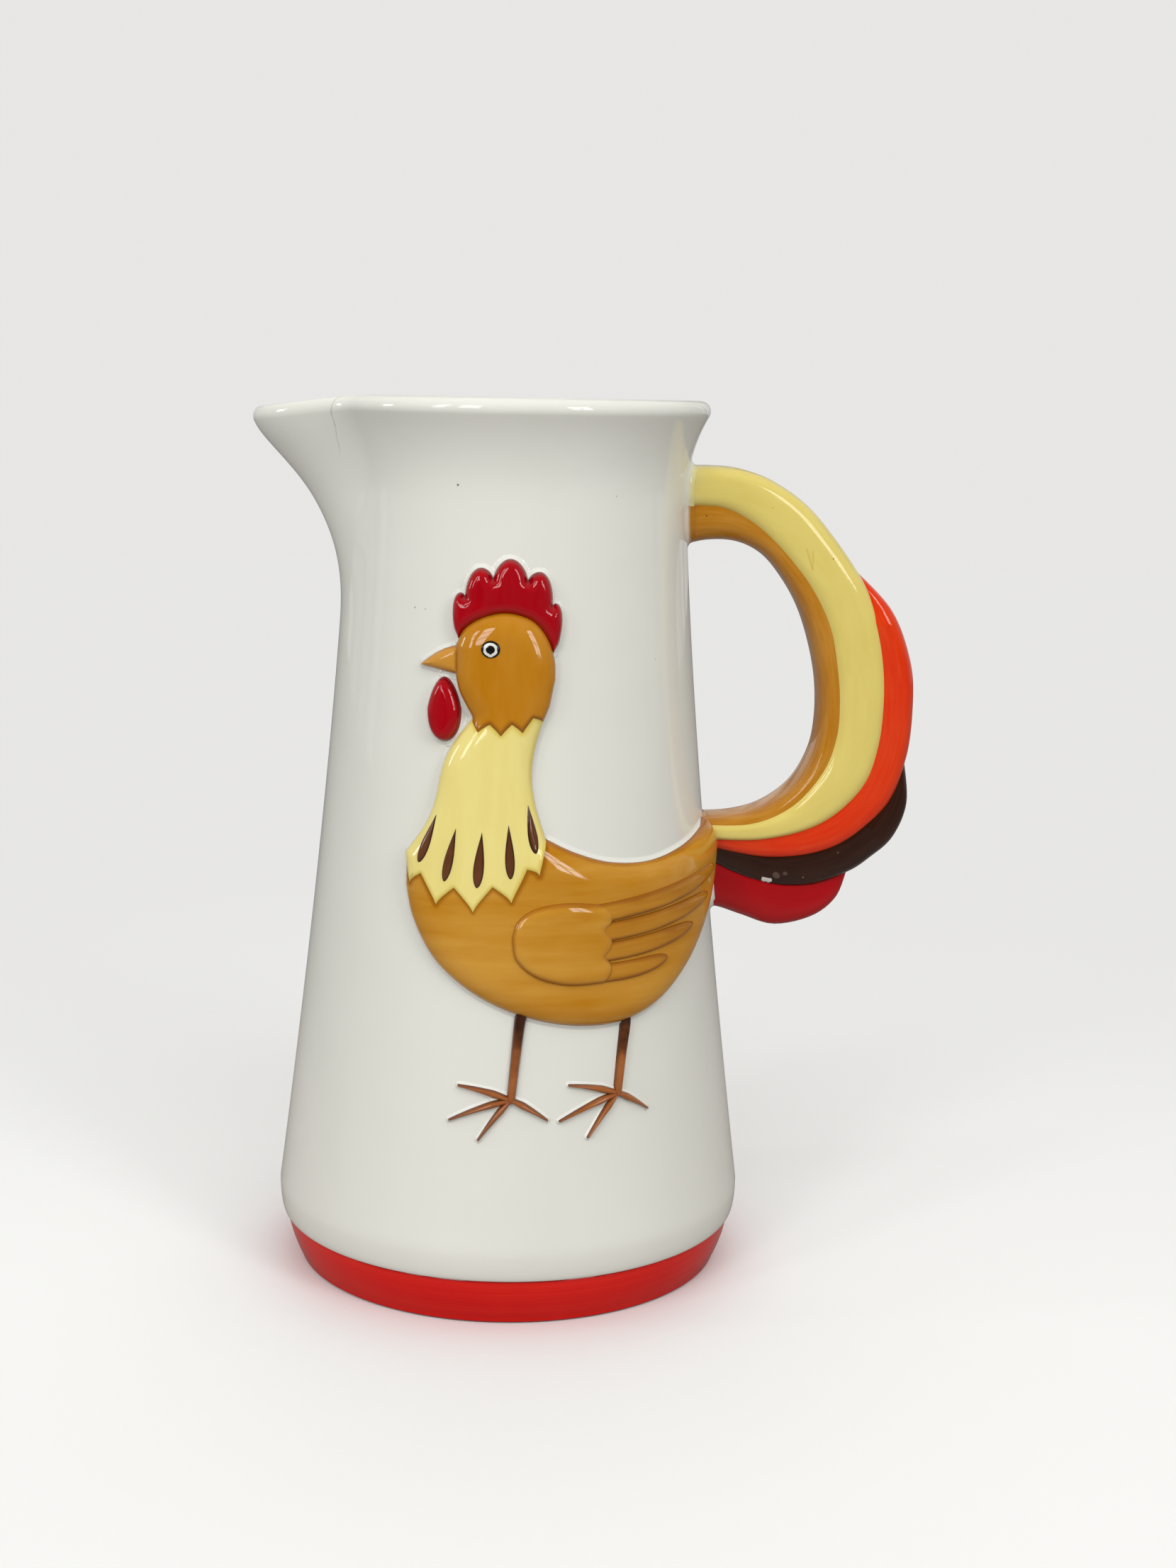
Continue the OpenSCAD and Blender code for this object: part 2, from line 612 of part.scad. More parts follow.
// Beak: closed and slightly hooked, against the front of the head
beak_steps = 5;
beak_droop_share = 0.3;         // how far the tip lies up the beak's base
beak_bulge_share = 0.1;         // how far the ridge of the beak is rounded, of its length
beak_base = [jaw[0] - [groove_w, 0], crown_line[0] - [groove_w, 0]];
beak_tip = mix(beak_base[0], beak_base[1], beak_droop_share) - [beak_l, 0];
module rooster_beak() {
    lower = [for (i = [0:beak_steps])
        let (t = i / beak_steps) mix(beak_tip - [0, claw_w / 2], beak_base[0], t)];
    upper = [for (i = [0:beak_steps])
        let (t = i / beak_steps) mix(beak_tip + [0, claw_w / 2], beak_base[1], t)
            + [0, beak_l * beak_bulge_share * sin(180 * t)]];
    color("darkorange")
    on_both_sides()
        wall_relief(plain_patch(lower, upper, beak_rise), 4, 1);
}

// Comb: five rounded lobes that fan out from the head
comb_lobes = 5;
lobe_rows = 6;
comb_rows = comb_lobes * lobe_rows;
comb_span_shares = [0.05, 0.8125]; // part of the crown line that the comb grows from
comb_focus_shares = [0.265, 0.75]; // place that the comb's rows point away from
valley_share = 0.66;            // height of the comb between two lobes, of the lobes'
comb_end_share = 0.3;           // height of the comb's ends, of its middle
lobe_power = 0.6;               // how round a lobe is
comb_power = 0.8;               // how soon the comb rises from its ends
comb_gap = 0.45;                // gap between the comb and the crown of the head
module rooster_comb() {
    focus = bird_places([comb_focus_shares])[0];
    span = comb_span_shares * last_of(crown_line);
    base = [for (i = [0:comb_rows]) row_of(crown_line, mix(span[0], span[1], i / comb_rows))];
    away = [for (p = base) (p - focus) / norm(p - focus)];
    height = [for (i = [0:comb_rows])
        let (t = i / comb_rows, lobe = pow(abs(sin(180 * comb_lobes * t)), lobe_power),
            arch = pow(sin(180 * t), comb_power))
        comb_h * mix(comb_end_share, 1, arch) * mix(valley_share, 1, lobe)];
    color("crimson")
    on_both_sides()
        wall_relief(plain_patch(
            [for (i = [0:comb_rows]) base[i] + away[i] * comb_gap],
            [for (i = [0:comb_rows]) base[i] + away[i] * height[i]], comb_rise), 4, 2);
}

// Wattle: a drop that hangs under the beak
wattle_rows = 8;
wattle_front_share = 0.3;       // how far in front of the head it hangs, of the beak's length
wattle_top_power = 1.6;         // how pointed its top is
wattle_foot_power = 0.85;       // how full its foot is
wattle_end_share = 0.075;       // length of its sides, of its full length
// Front of the throat and neck at a height, from the hem up to the beak
throat_line = concat(
    [for (s = back_across(throat_rows)) reversed(place_in(neck_patch, 0, 1 - s))],
    [for (p = reversed(part_of(jaw, 0, throat_rows - 1))) reversed(p)]);
module rooster_wattle() {
    function half_l(t, power) = wattle_l / 2 * max(pow(sin(180 * t), power), wattle_end_share);
    places = [for (i = [0:wattle_rows]) i / wattle_rows];
    middle_z = beak_base[0][1] - wattle_l / 2 - groove_w;
    behind = [for (t = places)
        lookup(middle_z - half_l(t, wattle_foot_power), throat_line) - groove_w
            + wattle_w / 2 * cos(180 * t)];
    middle = [min(beak_base[0][0] - wattle_front_share * beak_l, min(behind)), middle_z];
    color("crimson")
    on_both_sides()
        wall_relief(plain_patch(
            [for (t = places) middle - [wattle_w / 2 * cos(180 * t), half_l(t, wattle_foot_power)]],
            [for (t = places) middle + [-wattle_w / 2 * cos(180 * t), half_l(t, wattle_top_power)]],
            wattle_rise), 4, 1);
}

// Legs leave the underline square to it and end at the ankles
leg_place_shares = [0.484, 0.775]; // how far along the body's rows the legs leave it
leg_steps = 5;
ankle_up_share = 0.03;          // height of the ankles above the ground, of the rooster's
thigh_share = 0.2;              // length of a leg that is square to the body, of its length
shank_share = 0.6;              // how far down a leg its shank is straight, of its length
leg_power = 0.6;                // how soon a leg thins
leg_lean_share = 0.12;          // how far forward an ankle stands, of the leg's length
function leg_row(k) = leg_place_shares[k] * last_of(underline);
function leg_top(k) = row_of(underline, leg_row(k));
function ankle(k) =
    let (top = leg_top(k), z = bird_z + ankle_up_share * bird_h)
    [top[0] - leg_lean_share * (top[1] - z), z];
function leg_path(k) =
    let (top = leg_top(k), foot = ankle(k), l = norm(top - foot),
        d = row_of(underline, ceil(leg_row(k))) - row_of(underline, floor(leg_row(k))),
        out = [d[1], -d[0]] / norm(d))
    curve([top + out * groove_w, top + out * thigh_share * l, mix(top, foot, shank_share),
        foot - [0, ankle_w / 2]], leg_steps);
module rooster_legs() {
    color("saddlebrown")
    on_both_sides()
        for (k = [0, 1])
            wall_relief(stroke(leg_path(k),
                [for (i = [0:leg_steps]) mix(thigh_w, ankle_w, pow(i / leg_steps, leg_power))],
                leg_rise), 2, 1);
}

// Toes: three forward and one back, round each ankle, as [direction, share of the longest]
toe_shares = [[160, 0.86], [194, 1], [228, 0.72], [336, 0.58]];
toe_steps = 4;
toe_root_share = 0.4;           // width of a toe at its root, of its full width
toe_full_share = 0.3;           // where a toe has its full width, along its length
toe_curl_share = 0.12;          // how far a toe curls down, of its length
module rooster_toes() {
    color("saddlebrown")
    on_both_sides()
        for (k = [0, 1], toe = toe_shares) {
            l = toe[1] * toe_l;
            start = ankle_w + groove_w / 2;
            path = [for (i = [0:toe_steps])
                let (t = i / toe_steps)
                ankle(k) + (start + l * t) * [cos(toe[0]), sin(toe[0])]
                    - [0, toe_curl_share * l * t * t]];
            widths = [for (i = [0:toe_steps])
                let (t = i / toe_steps)
                t < toe_full_share ? toe_w * mix(toe_root_share, 1, t / toe_full_share)
                    : mix(toe_w, claw_w, (t - toe_full_share) / (1 - toe_full_share))];
            wall_relief(stroke(path, widths, leg_rise), 2, 1);
        }
}

body_shell();
pouring_spout();
foot_band();
handle_inner_strand();
yellow_feather();
orange_feather();
brown_feather();
red_feather();
rooster_body();
wing_shoulder();
wing_quills();
rooster_neck();
neck_flecks();
rooster_head();
rooster_eye();
rooster_beak();
rooster_comb();
rooster_wattle();
rooster_legs();
rooster_toes();
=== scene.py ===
# %% [markdown]
# # A ceramic pitcher whose handle is a rooster's tail
#
# The real object is a slip-cast pitcher: a tapered round body with a drawn-out spout, a rooster
# in low relief on the wall, and a handle built up from five feathers. Everything is painted
# under one clear, glossy glaze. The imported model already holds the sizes. This lesson adds what
# the eye expects of glazed clay: soft edges, thin steps between the painted areas, brush
# strokes in the colours, and a glaze that pools in the corners.

# %% Load the fixed frame
import math

import bpy
import numpy as np
from mathutils import Matrix, Vector


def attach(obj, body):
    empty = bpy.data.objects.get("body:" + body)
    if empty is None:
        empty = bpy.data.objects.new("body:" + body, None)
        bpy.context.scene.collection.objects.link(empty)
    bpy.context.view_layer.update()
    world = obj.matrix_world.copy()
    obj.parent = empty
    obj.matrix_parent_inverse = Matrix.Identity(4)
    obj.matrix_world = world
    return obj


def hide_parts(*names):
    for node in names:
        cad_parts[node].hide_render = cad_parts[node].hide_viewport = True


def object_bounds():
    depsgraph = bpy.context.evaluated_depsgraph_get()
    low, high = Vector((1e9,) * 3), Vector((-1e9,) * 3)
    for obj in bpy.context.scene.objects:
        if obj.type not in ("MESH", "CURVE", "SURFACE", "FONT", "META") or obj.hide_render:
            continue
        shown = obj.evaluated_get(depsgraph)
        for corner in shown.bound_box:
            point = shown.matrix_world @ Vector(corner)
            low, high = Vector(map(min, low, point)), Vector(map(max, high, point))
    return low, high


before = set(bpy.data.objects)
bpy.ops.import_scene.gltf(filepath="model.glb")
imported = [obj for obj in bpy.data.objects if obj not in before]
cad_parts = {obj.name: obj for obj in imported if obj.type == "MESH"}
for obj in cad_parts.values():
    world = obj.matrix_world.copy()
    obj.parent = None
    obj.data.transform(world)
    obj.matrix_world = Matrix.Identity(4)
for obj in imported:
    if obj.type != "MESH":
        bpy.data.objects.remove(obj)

cad_low, cad_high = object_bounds()
print("solids:", len(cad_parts), "box in m:", tuple(round(v, 4) for v in cad_high - cad_low))

# %% [markdown]
# All sizes below are in millimetres, because that is what a potter measures in. Blender's unit
# is the metre, so one helper turns points into a mesh and scales them on the way. Another
# checks the volume of a closed skin, whose sign tells if the faces point outwards.

# %% Points to a mesh
MM = 0.001


def new_object(name, data):
    thing = bpy.data.objects.new(name, data)
    bpy.context.scene.collection.objects.link(thing)
    return thing


def new_mesh(name, points, edges=(), faces=()):
    """A mesh from points in millimetres."""
    mesh = bpy.data.meshes.new(name)
    mesh.from_pydata((np.asarray(points) * MM).tolist(), edges, faces)
    return mesh


def store(mesh, name, values, kind="FLOAT"):
    """Keeps a number, or a vector, at each point of a mesh."""
    key = "vector" if kind == "FLOAT_VECTOR" else "value"
    mesh.attributes.new(name, kind, "POINT").data.foreach_set(key, np.ravel(values))


def outward(points, faces):
    """Faces of a closed skin, turned so that they point outwards."""
    fans = np.array([(f[0], b, c) for f in faces for b, c in zip(f[1:], f[2:])])
    a, b, c = points[fans.T]
    return faces if np.einsum("ij,ij->", a, np.cross(b, c)) > 0 else [f[::-1] for f in faces]


def new_piece(name, points, faces, materials, face_material=None):
    mesh = new_mesh(name, points, faces=faces)
    for material in materials:
        mesh.materials.append(material)
    if face_material is not None:
        mesh.polygons.foreach_set("material_index", face_material)
    mesh.polygons.foreach_set("use_smooth", [True] * len(faces))
    return new_object(name, mesh)


def dress(piece, slot, *nodes):
    """Lets the piece ride with the pitcher in place of its solids, and prints its faces and the slot it
    stands for.
    """
    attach(piece, "root")
    if nodes:
        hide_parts(*nodes)
    print(f"{piece.name}: {len(piece.data.polygons)} faces, {slot}")
    return piece


# %% [markdown]
# ## The camera
#
# The photograph was taken by hand, a little above the rim and tipped down by ten degrees, which
# is why the walls lean together towards the foot. A long lens would flatten that. The camera
# is set from the same facts: where it stood, how far it was turned, tipped and rolled, and its
# focal length. It comes first, because it decides how fine each piece has to be.

# %% Camera
CAMERA_AT = (-16.02, -546.2, 217.39)  # place of the lens, from the middle of the foot
CAMERA_RIGHT_DEG, CAMERA_DOWN_DEG, CAMERA_ROLL_DEG = 3.638, 10.042, 1.066
CAMERA_LENS = 50.66

camera = new_object("camera", bpy.data.cameras.new("camera"))
bpy.context.scene.camera = camera
camera.data.lens = CAMERA_LENS
camera.data.sensor_width = 36.0
camera.data.clip_start = 0.02
stand = Matrix.Translation(Vector(CAMERA_AT) * MM)
for axis, degrees in (("Z", -CAMERA_RIGHT_DEG), ("X", 90 - CAMERA_DOWN_DEG), ("Z", CAMERA_ROLL_DEG)):
    stand = stand @ Matrix.Rotation(math.radians(degrees), 4, axis)
camera.matrix_world = stand
print("camera at", CAMERA_AT, "mm, lens", CAMERA_LENS)

# %% [markdown]
# ## Glaze
#
# A glazed pot is paint under glass. The paint is brushed on, so its colour comes and goes in
# fine streaks along the stroke and in wide soft clouds across it. The glass on top is nearly
# perfect: it has a low roughness, a very slow waviness that bends reflections, and a faint
# orange peel. A noise texture that is squeezed along one direction gives the streaks, and the
# same recipe with other colours and directions serves every painted area.
#
# Node trees are long to write out, so two small classes help. One adds nodes and feeds their
# sockets. The other wraps a socket, so that a formula of nodes reads like any other formula.

# %% Node helpers


class Value:
    """What a socket gives, to be used in a formula."""

    def __init__(self, nodes, socket):
        self.nodes, self.socket = nodes, socket

    def __add__(self, other):
        return self.nodes.math("ADD", self, other)

    def __sub__(self, other):
        return self.nodes.math("SUBTRACT", self, other)

    def __rsub__(self, other):
        return self.nodes.math("SUBTRACT", other, self)

    def __mul__(self, other):
        return self.nodes.math("MULTIPLY", self, other)

    def __truediv__(self, other):
        return self.nodes.math("DIVIDE", self, other)

    def __pow__(self, other):
        return self.nodes.math("POWER", self, other)


class Nodes:
    """Short words for the few nodes that the glazes and the trees use."""

    def __init__(self, tree):
        self.tree = tree

    def feed(self, socket, value):
        value = getattr(value, "socket", value)
        if isinstance(value, bpy.types.NodeSocket):
            self.tree.links.new(value, socket)
        else:
            socket.default_value = value

    def add(self, kind, inputs=None, **settings):
        node = self.tree.nodes.new(kind)
        for key, value in settings.items():
            setattr(node, key, value)
        for key, value in (inputs or {}).items():
            self.feed(node.inputs[key], value)
        return node

    def out(self, kind, inputs=None, output=0, **settings):
        return Value(self, self.add(kind, inputs, **settings).outputs[output])

    def outs(self, kind, inputs=None):
        return {s.name: Value(self, s) for s in self.add(kind, inputs).outputs}

    def parts(self, vector):
        return self.outs("ShaderNodeSeparateXYZ", {0: vector})

    def math(self, operation, *values, clamp=False):
        return self.out("ShaderNodeMath", dict(enumerate(values)), operation=operation, use_clamp=clamp)

    def vector(self, operation, *values, **scale):
        output = "Value" if operation in ("DOT_PRODUCT", "LENGTH") else 0
        inputs = {**dict(enumerate(values)), **scale}
        return self.out("ShaderNodeVectorMath", inputs, output, operation=operation)

    def ramp(self, value, low, high, to_low=0.0, to_high=1.0, smooth=False):
        return self.out("ShaderNodeMapRange", {
            "Value": value, "From Min": low, "From Max": high, "To Min": to_low,
            "To Max": to_high}, interpolation_type="SMOOTHSTEP" if smooth else "LINEAR")

    def noise(self, vector, scale, detail=3.0, roughness=0.5):
        return self.out("ShaderNodeTexNoise", {
            "Vector": vector, "Scale": scale, "Detail": detail, "Roughness": roughness})

    def scaled(self, vector, scale):
        return self.out("ShaderNodeMapping", {"Vector": vector, "Scale": scale})

    def mix(self, share, a, b):
        return self.out("ShaderNodeMix", {0: share, 6: a, 7: b}, 2, data_type="RGBA")


def linear(colour):
    """A colour as the eye reads it, from 0 to 255, as light."""
    return (*(v / 255 / 12.92 if v <= 10 else ((v / 255 + 0.055) / 1.055) ** 2.4 for v in colour), 1.0)


print("a middle grey of 128 is", round(linear((128, 128, 128))[0], 3), "as light")

# %% The glaze recipe
GLAZE_IOR = 1.5
CLOUDS, WAVES, PEEL, RAGGED = 45.0, 55.0, 420.0, 900.0  # scales of noise, per metre
PEEL_SHARE, WAVE_STRENGTH, WAVE_DEPTH = 0.06, 0.35, 0.0006
FINE_RANGE, WIDE_RANGE, FINE_SHARE = (0.36, 0.66), (0.35, 0.65), 0.65  # where noise turns thick to thin
EDGE_RANGE, EDGE_FADE = (0.3, 1.5), (0.9, 0.0)  # how far in the edge's colour goes, and its strength
ROOT_RANGE, ROOT_FADE = (0.3, 1.0), (0.6, 0.0)  # the same along the first centimetre of a stroke
MARK_RANGE, GLOSS_RANGE = (1.55, 1.3), (0.8, 1.3)  # as shares of a mark's radius and of the roughness


def distance_to_line(n, here, start, end):
    """Distance of the shaded place to a short line, for dots, chips and scratches."""
    run = end - start
    from_start = n.vector("SUBTRACT", here, tuple(start))
    along = n.vector("DOT_PRODUCT", from_start, tuple(run))
    share = n.math("DIVIDE", along, max(float(run @ run), 1e-12), clamp=True)
    return n.vector("LENGTH", n.vector("ADD", from_start, n.vector("SCALE", tuple(-run), Scale=share)))


def glaze(name, thick, thin, streak=(60, 60, 900), streak_share=0.5, by_length=False, roughness=0.07,
          marks=(), edge=None, edge_mm=1.0, root=None, above=None):
    """Brushed colour under a clear glaze: thick and thin are the colours of a full and of a
    dry stroke, streak squeezes the noise along the stroke, edge is the colour at the outline
    of a relief, root is the colour in which a stroke starts, above is the colour that takes
    over between two heights, and marks are (ends in mm, radius, colour, strength)."""
    material = bpy.data.materials.new(name)
    material.use_nodes = True
    shader = material.node_tree.nodes["Principled BSDF"].inputs
    n = Nodes(material.node_tree)
    here = n.out("ShaderNodeTexCoord", output="Object")
    stroke = n.out("ShaderNodeUVMap", uv_map="stroke") if by_length else here
    fine = n.ramp(n.noise(n.scaled(stroke, streak), 1.0, 4.0, 0.6), *FINE_RANGE)
    wide = n.ramp(n.noise(here, CLOUDS, 2.0), *WIDE_RANGE)
    amount = (fine * FINE_SHARE + wide * (1 - FINE_SHARE)) * streak_share
    colour = n.mix(amount, linear(thick), linear(thin))
    if edge:
        inside = wide * (0.5 * edge_mm) + n.out("ShaderNodeAttribute", output="Fac", attribute_name="edge")
        near, far = (edge_mm * share for share in EDGE_RANGE)
        colour = n.mix(n.ramp(inside, near, far, *EDGE_FADE, smooth=True), colour, linear(edge))
    if above:
        low, high, other = above[0] * MM, above[1] * MM, linear(above[2])
        height = n.noise(here, 300.0, 2.0) * (high - low) + n.parts(here)["Z"]
        half = (high - low) / 2
        colour = n.mix(n.ramp(height, low + half, high + half, smooth=True), colour, other)
    if root:
        along = n.noise(here, 160.0, 2.0) * 0.5 + n.parts(stroke)["X"]
        colour = n.mix(n.ramp(along, *ROOT_RANGE, *ROOT_FADE, smooth=True), colour, linear(root))
    for ends, radius, tint, strength in marks:
        off = distance_to_line(n, here, np.array(ends[0]) * MM, np.array(ends[-1]) * MM)
        ragged = n.noise(here, RAGGED, 1.0) * (radius * MM) + off
        outer, inner = (radius * MM * share for share in MARK_RANGE)
        colour = n.mix(n.ramp(ragged, outer, inner, 0.0, strength), colour, linear(tint))
    uneven = n.ramp(n.noise(here, 120.0, 2.0), 0.3, 0.7, *(roughness * share for share in GLOSS_RANGE))
    height = n.noise(here, PEEL, 1.0) * PEEL_SHARE + n.noise(here, WAVES, 1.0)
    bump = n.out("ShaderNodeBump", {"Height": height, "Strength": WAVE_STRENGTH, "Distance": WAVE_DEPTH})
    for socket, value in (("Base Color", colour), ("Roughness", uneven), ("Normal", bump)):
        n.feed(shader[socket], value)
    shader["IOR"].default_value = GLAZE_IOR
    return material


mirror_share = ((GLAZE_IOR - 1) / (GLAZE_IOR + 1)) ** 2
print("share of light that the glaze reflects straight on:", round(mirror_share, 3))

# %% [markdown]
# The colours are read off the photograph, as a full stroke and a dry one. The white isn't
# pure: cast earthenware under a clear glaze is a little grey and a little warm, with a few iron
# specks. The specks, the chip on the brown feather, the scratch on the yellow one and the dots
# of stray paint are where this pitcher has them. A dot has one end and a scratch has two.

# %% The glazes of this pitcher
IRON, CHALK, CREAM, DUST = (110, 100, 78), (226, 224, 216), (196, 172, 70), (150, 130, 118)
GREY, RIM_WHITE = (110, 92, 80), (229, 229, 219)
WHITE_MARKS = [
    ([(-14.7, -39.0, 196.3)], 0.3, IRON, 0.9),
    ([(-42.2, -20.0, 211.0), (-41.9, -19.8, 209.8)], 0.3, IRON, 0.7),
    ([(-24.4, -35.2, 167.9)], 0.25, IRON, 0.6), ([(-22.0, -36.9, 167.7)], 0.22, IRON, 0.5),
    ([(21.8, -35.4, 194.1)], 0.2, IRON, 0.4), ([(32.3, -29.6, 155.8)], 0.2, IRON, 0.4)]
YELLOW_MARKS = [
    ([(77.3, -9.5, 178.6)], 0.3, (168, 120, 44), 0.9),
    ([(70.6, -9.5, 180.8), (72.3, -9.5, 175.8)], 0.22, CREAM, 0.5),
    ([(72.3, -9.5, 175.8), (72.2, -9.5, 180.2)], 0.22, CREAM, 0.4),
    ([(61.9, -9.5, 190.8)], 0.18, (150, 130, 60), 0.6)]
STRAND_MARKS = [([(45.9, -8.2, 188.5)], 0.22, (70, 40, 14), 0.9)]
BROWN_MARKS = [
    ([(63.2, -7.0, 97.3), (64.6, -7.0, 97.1)], 0.95, CHALK, 1.0),
    ([(66.0, -7.2, 98.8), (66.4, -7.2, 98.4)], 0.8, GREY, 0.5),
    ([(68.3, -7.2, 99.3), (68.5, -7.2, 99.2)], 0.5, GREY, 0.45), ([(73.0, -7.2, 98.2)], 0.25, DUST, 0.6),
    ([(81.6, -7.2, 104.7)], 0.2, DUST, 0.5), ([(96.4, -7.0, 112.0)], 0.25, DUST, 0.5)]
white_glaze = glaze("white_glaze", (229, 229, 221), (222, 223, 213), (14, 14, 4), roughness=0.06,
                    marks=WHITE_MARKS)
# The darker red that takes over at the top of the band, from 11.3 to 11.9 mm, is painted shade under the
# white body's overhanging lip.
red_glaze = glaze("red_glaze", (214, 1, 0), (232, 32, 16), (12, 12, 1500), 0.7, roughness=0.12,
                  above=(11.3, 11.9, (112, 26, 20)))
ochre_glaze = glaze("ochre_glaze", (183, 119, 6), (203, 149, 58), (22, 22, 210), 1.0, edge=(156, 92, 4))
head_glaze = glaze("head_glaze", (184, 118, 8), (198, 138, 44), (190, 190, 50), 0.7, edge=(150, 88, 4))
wing_glaze = glaze("wing_glaze", (166, 104, 8), (194, 136, 44), (24, 24, 300), 0.9, edge=(140, 80, 4))
strand_glaze = glaze("strand_glaze", (180, 115, 8), (197, 140, 52), (1, 9, 1), 0.8, by_length=True,
                     marks=STRAND_MARKS)
yellow_glaze = glaze("yellow_glaze", (226, 208, 118), (217, 195, 98), (0.8, 4, 1), 0.6, by_length=True,
                     marks=YELLOW_MARKS, root=(233, 225, 168))
yellow_root = glaze("yellow_root_glaze", (232, 222, 158), (228, 216, 142), edge=RIM_WHITE, edge_mm=1.25)
ochre_root = glaze("ochre_root_glaze", (181, 116, 8), (198, 142, 52))
strand_root = glaze("strand_root_glaze", (181, 116, 8), (198, 142, 52), edge=RIM_WHITE, edge_mm=0.9)
neck_glaze = glaze("neck_glaze", (238, 224, 142), (229, 210, 120), (220, 220, 40), 0.7, edge=(222, 198, 92))
orange_glaze = glaze("orange_glaze", (220, 46, 0), (228, 72, 24), (0.9, 10, 1), 0.7, by_length=True)
brown_glaze = glaze("brown_glaze", (40, 14, 3), (62, 31, 14), (0.9, 9, 1), 0.6, by_length=True,
                    marks=BROWN_MARKS)
crimson_glaze = glaze("crimson_glaze", (174, 0, 10), (156, 0, 8), (0.9, 5, 1), by_length=True)
comb_glaze = glaze("comb_glaze", (170, 0, 16), (152, 0, 14), (90, 90, 160), 0.6, edge=(120, 0, 12),
                   edge_mm=0.8)
beak_glaze = glaze("beak_glaze", (196, 134, 40), (212, 158, 76), (60, 60, 300), edge=(166, 102, 20),
                   edge_mm=0.6)
leg_glaze = glaze("leg_glaze", (142, 76, 34), (168, 104, 56), (160, 160, 120), 0.9, edge=(96, 46, 16),
                  edge_mm=0.35, above=(60, 73, (58, 27, 9)))
fleck_glaze = glaze("fleck_glaze", (92, 50, 26), (116, 74, 44), (200, 200, 200), edge=(44, 22, 8),
                    edge_mm=0.35)
eye_glaze = glaze("eye_glaze", (14, 11, 10), (26, 22, 20))
eye_white = glaze("eye_white", (226, 226, 220), (214, 214, 206))


# angle at the rim, lean to a millimetre of height, and the heights where the seam starts and ends
SEAM_TOP_DEG, SEAM_LEAN_DEG, SEAM_TOP_Z, SEAM_LOW_Z = 26.0, 0.28, 216.0, 200.0
SEAM_WOBBLE, SEAM_WIDTHS, SEAM_STRENGTH = 0.016, (0.0024, 0.0046), 0.3


def add_seam(material):
    """A hairline in the glaze beside the spout. It leans as it runs down from the rim, and is
    open at the rim only."""
    n = Nodes(material.node_tree)
    colour = material.node_tree.nodes["Principled BSDF"].inputs["Base Color"]
    paint = colour.links[0].from_socket
    here = n.out("ShaderNodeTexCoord", output="Object")
    at = n.parts(here)
    wobble = n.noise(here, 500.0, 2.0) * SEAM_WOBBLE + (math.radians(SEAM_TOP_DEG) - SEAM_WOBBLE / 2)
    line = (at["Z"] - SEAM_TOP_Z * MM) * (math.radians(SEAM_LEAN_DEG) / MM) + wobble
    off = n.math("ABSOLUTE", n.math("ARCTAN2", at["Y"] * -1.0, at["X"] * -1.0) - line)
    width = n.ramp(at["Z"], (SEAM_TOP_Z - 9) * MM, (SEAM_TOP_Z - 4) * MM, *SEAM_WIDTHS)
    fade = n.ramp(at["Z"], SEAM_LOW_Z * MM, (SEAM_LOW_Z + 5) * MM, 0.0, SEAM_STRENGTH, smooth=True)
    facing = n.out("ShaderNodeNewGeometry", output="Normal")
    outside = n.ramp(n.vector("DOT_PRODUCT", here, n.scaled(facing, (1, 1, 0))), -0.012, 0.004)
    cut = n.ramp(off / width, 1.0, 0.4, smooth=True) * outside
    n.feed(colour, n.mix(cut * fade, paint, linear(IRON)))


add_seam(white_glaze)
print("glazes:", [m.name for m in bpy.data.materials if m.name.endswith(("_glaze", "_white"))])

# %% [markdown]
# ## The body
#
# Everything on this pitcher starts from one line: the radius of the wall at a height. It is
# widest just over the foot band, straightens as it rises, is narrowest under the rim and
# flares into a rounded bead. The relief and the handle are set on the same line, so it is
# written once, as a function, with another that wraps flat places round the wall.

# %% The wall as a function of height
VESSEL_H = cad_high.z / MM
BELLY_R, BELLY_Z = 58.6, 19.0
NECK_R, NECK_Z = 41.6, VESSEL_H - 23.0
LIP_R, BEAD_R = 46.9, 2.5
WALL_T = 4.2
TAPER_POWER, FLARE_POWER = 1.33, 2.2
BEAD_TILT = math.radians(30)
BEAD_AT = (LIP_R - BEAD_R, VESSEL_H - BEAD_R)
FLARE_R = BEAD_AT[0] + BEAD_R * math.cos(BEAD_TILT)
FLARE_Z = BEAD_AT[1] - BEAD_R * math.sin(BEAD_TILT)


def wall_r(z):
    """Radius of the outside of the wall at a height."""
    z = np.asarray(z, float)
    up = 1 - np.clip((z - BELLY_Z) / (NECK_Z - BELLY_Z), 0, 1)
    flare = np.maximum(z - NECK_Z, 0) / (FLARE_Z - NECK_Z)
    return NECK_R + (BELLY_R - NECK_R) * up ** TAPER_POWER + (FLARE_R - NECK_R) * flare ** FLARE_POWER


def round_wall(place, off, start=0.0):
    """Places (distance round the wall, height) as points in space, off the wall by a height.
    The distance counts from the front, or from an angle to the right of it."""
    r = wall_r(place[..., 1])
    a = place[..., 0] / r + start
    return np.stack([(r + off) * np.sin(a), -(r + off) * np.cos(a), place[..., 1]], -1)


print("wall at the belly, middle and neck:", [float(wall_r(z).round(1)) for z in (19, 106, 193)])

# %% [markdown]
# A thrown or cast pot is a profile turned about an axis, and that is a rule, so Geometry Nodes
# can make it. The tree takes the profile as a line of points and builds a grid with one column
# for each step of the turn. Each vertex looks up its point of the profile and is put at that
# radius, height and angle. The spout is the same rule with one addition: near the front, the
# wall is drawn outwards and a little down, most at the rim and not at all at its root. Because
# body and spout come from one grid, the glaze runs over them without a seam. The foot band is
# turned by the same tree, with the spout's reach set to nothing.

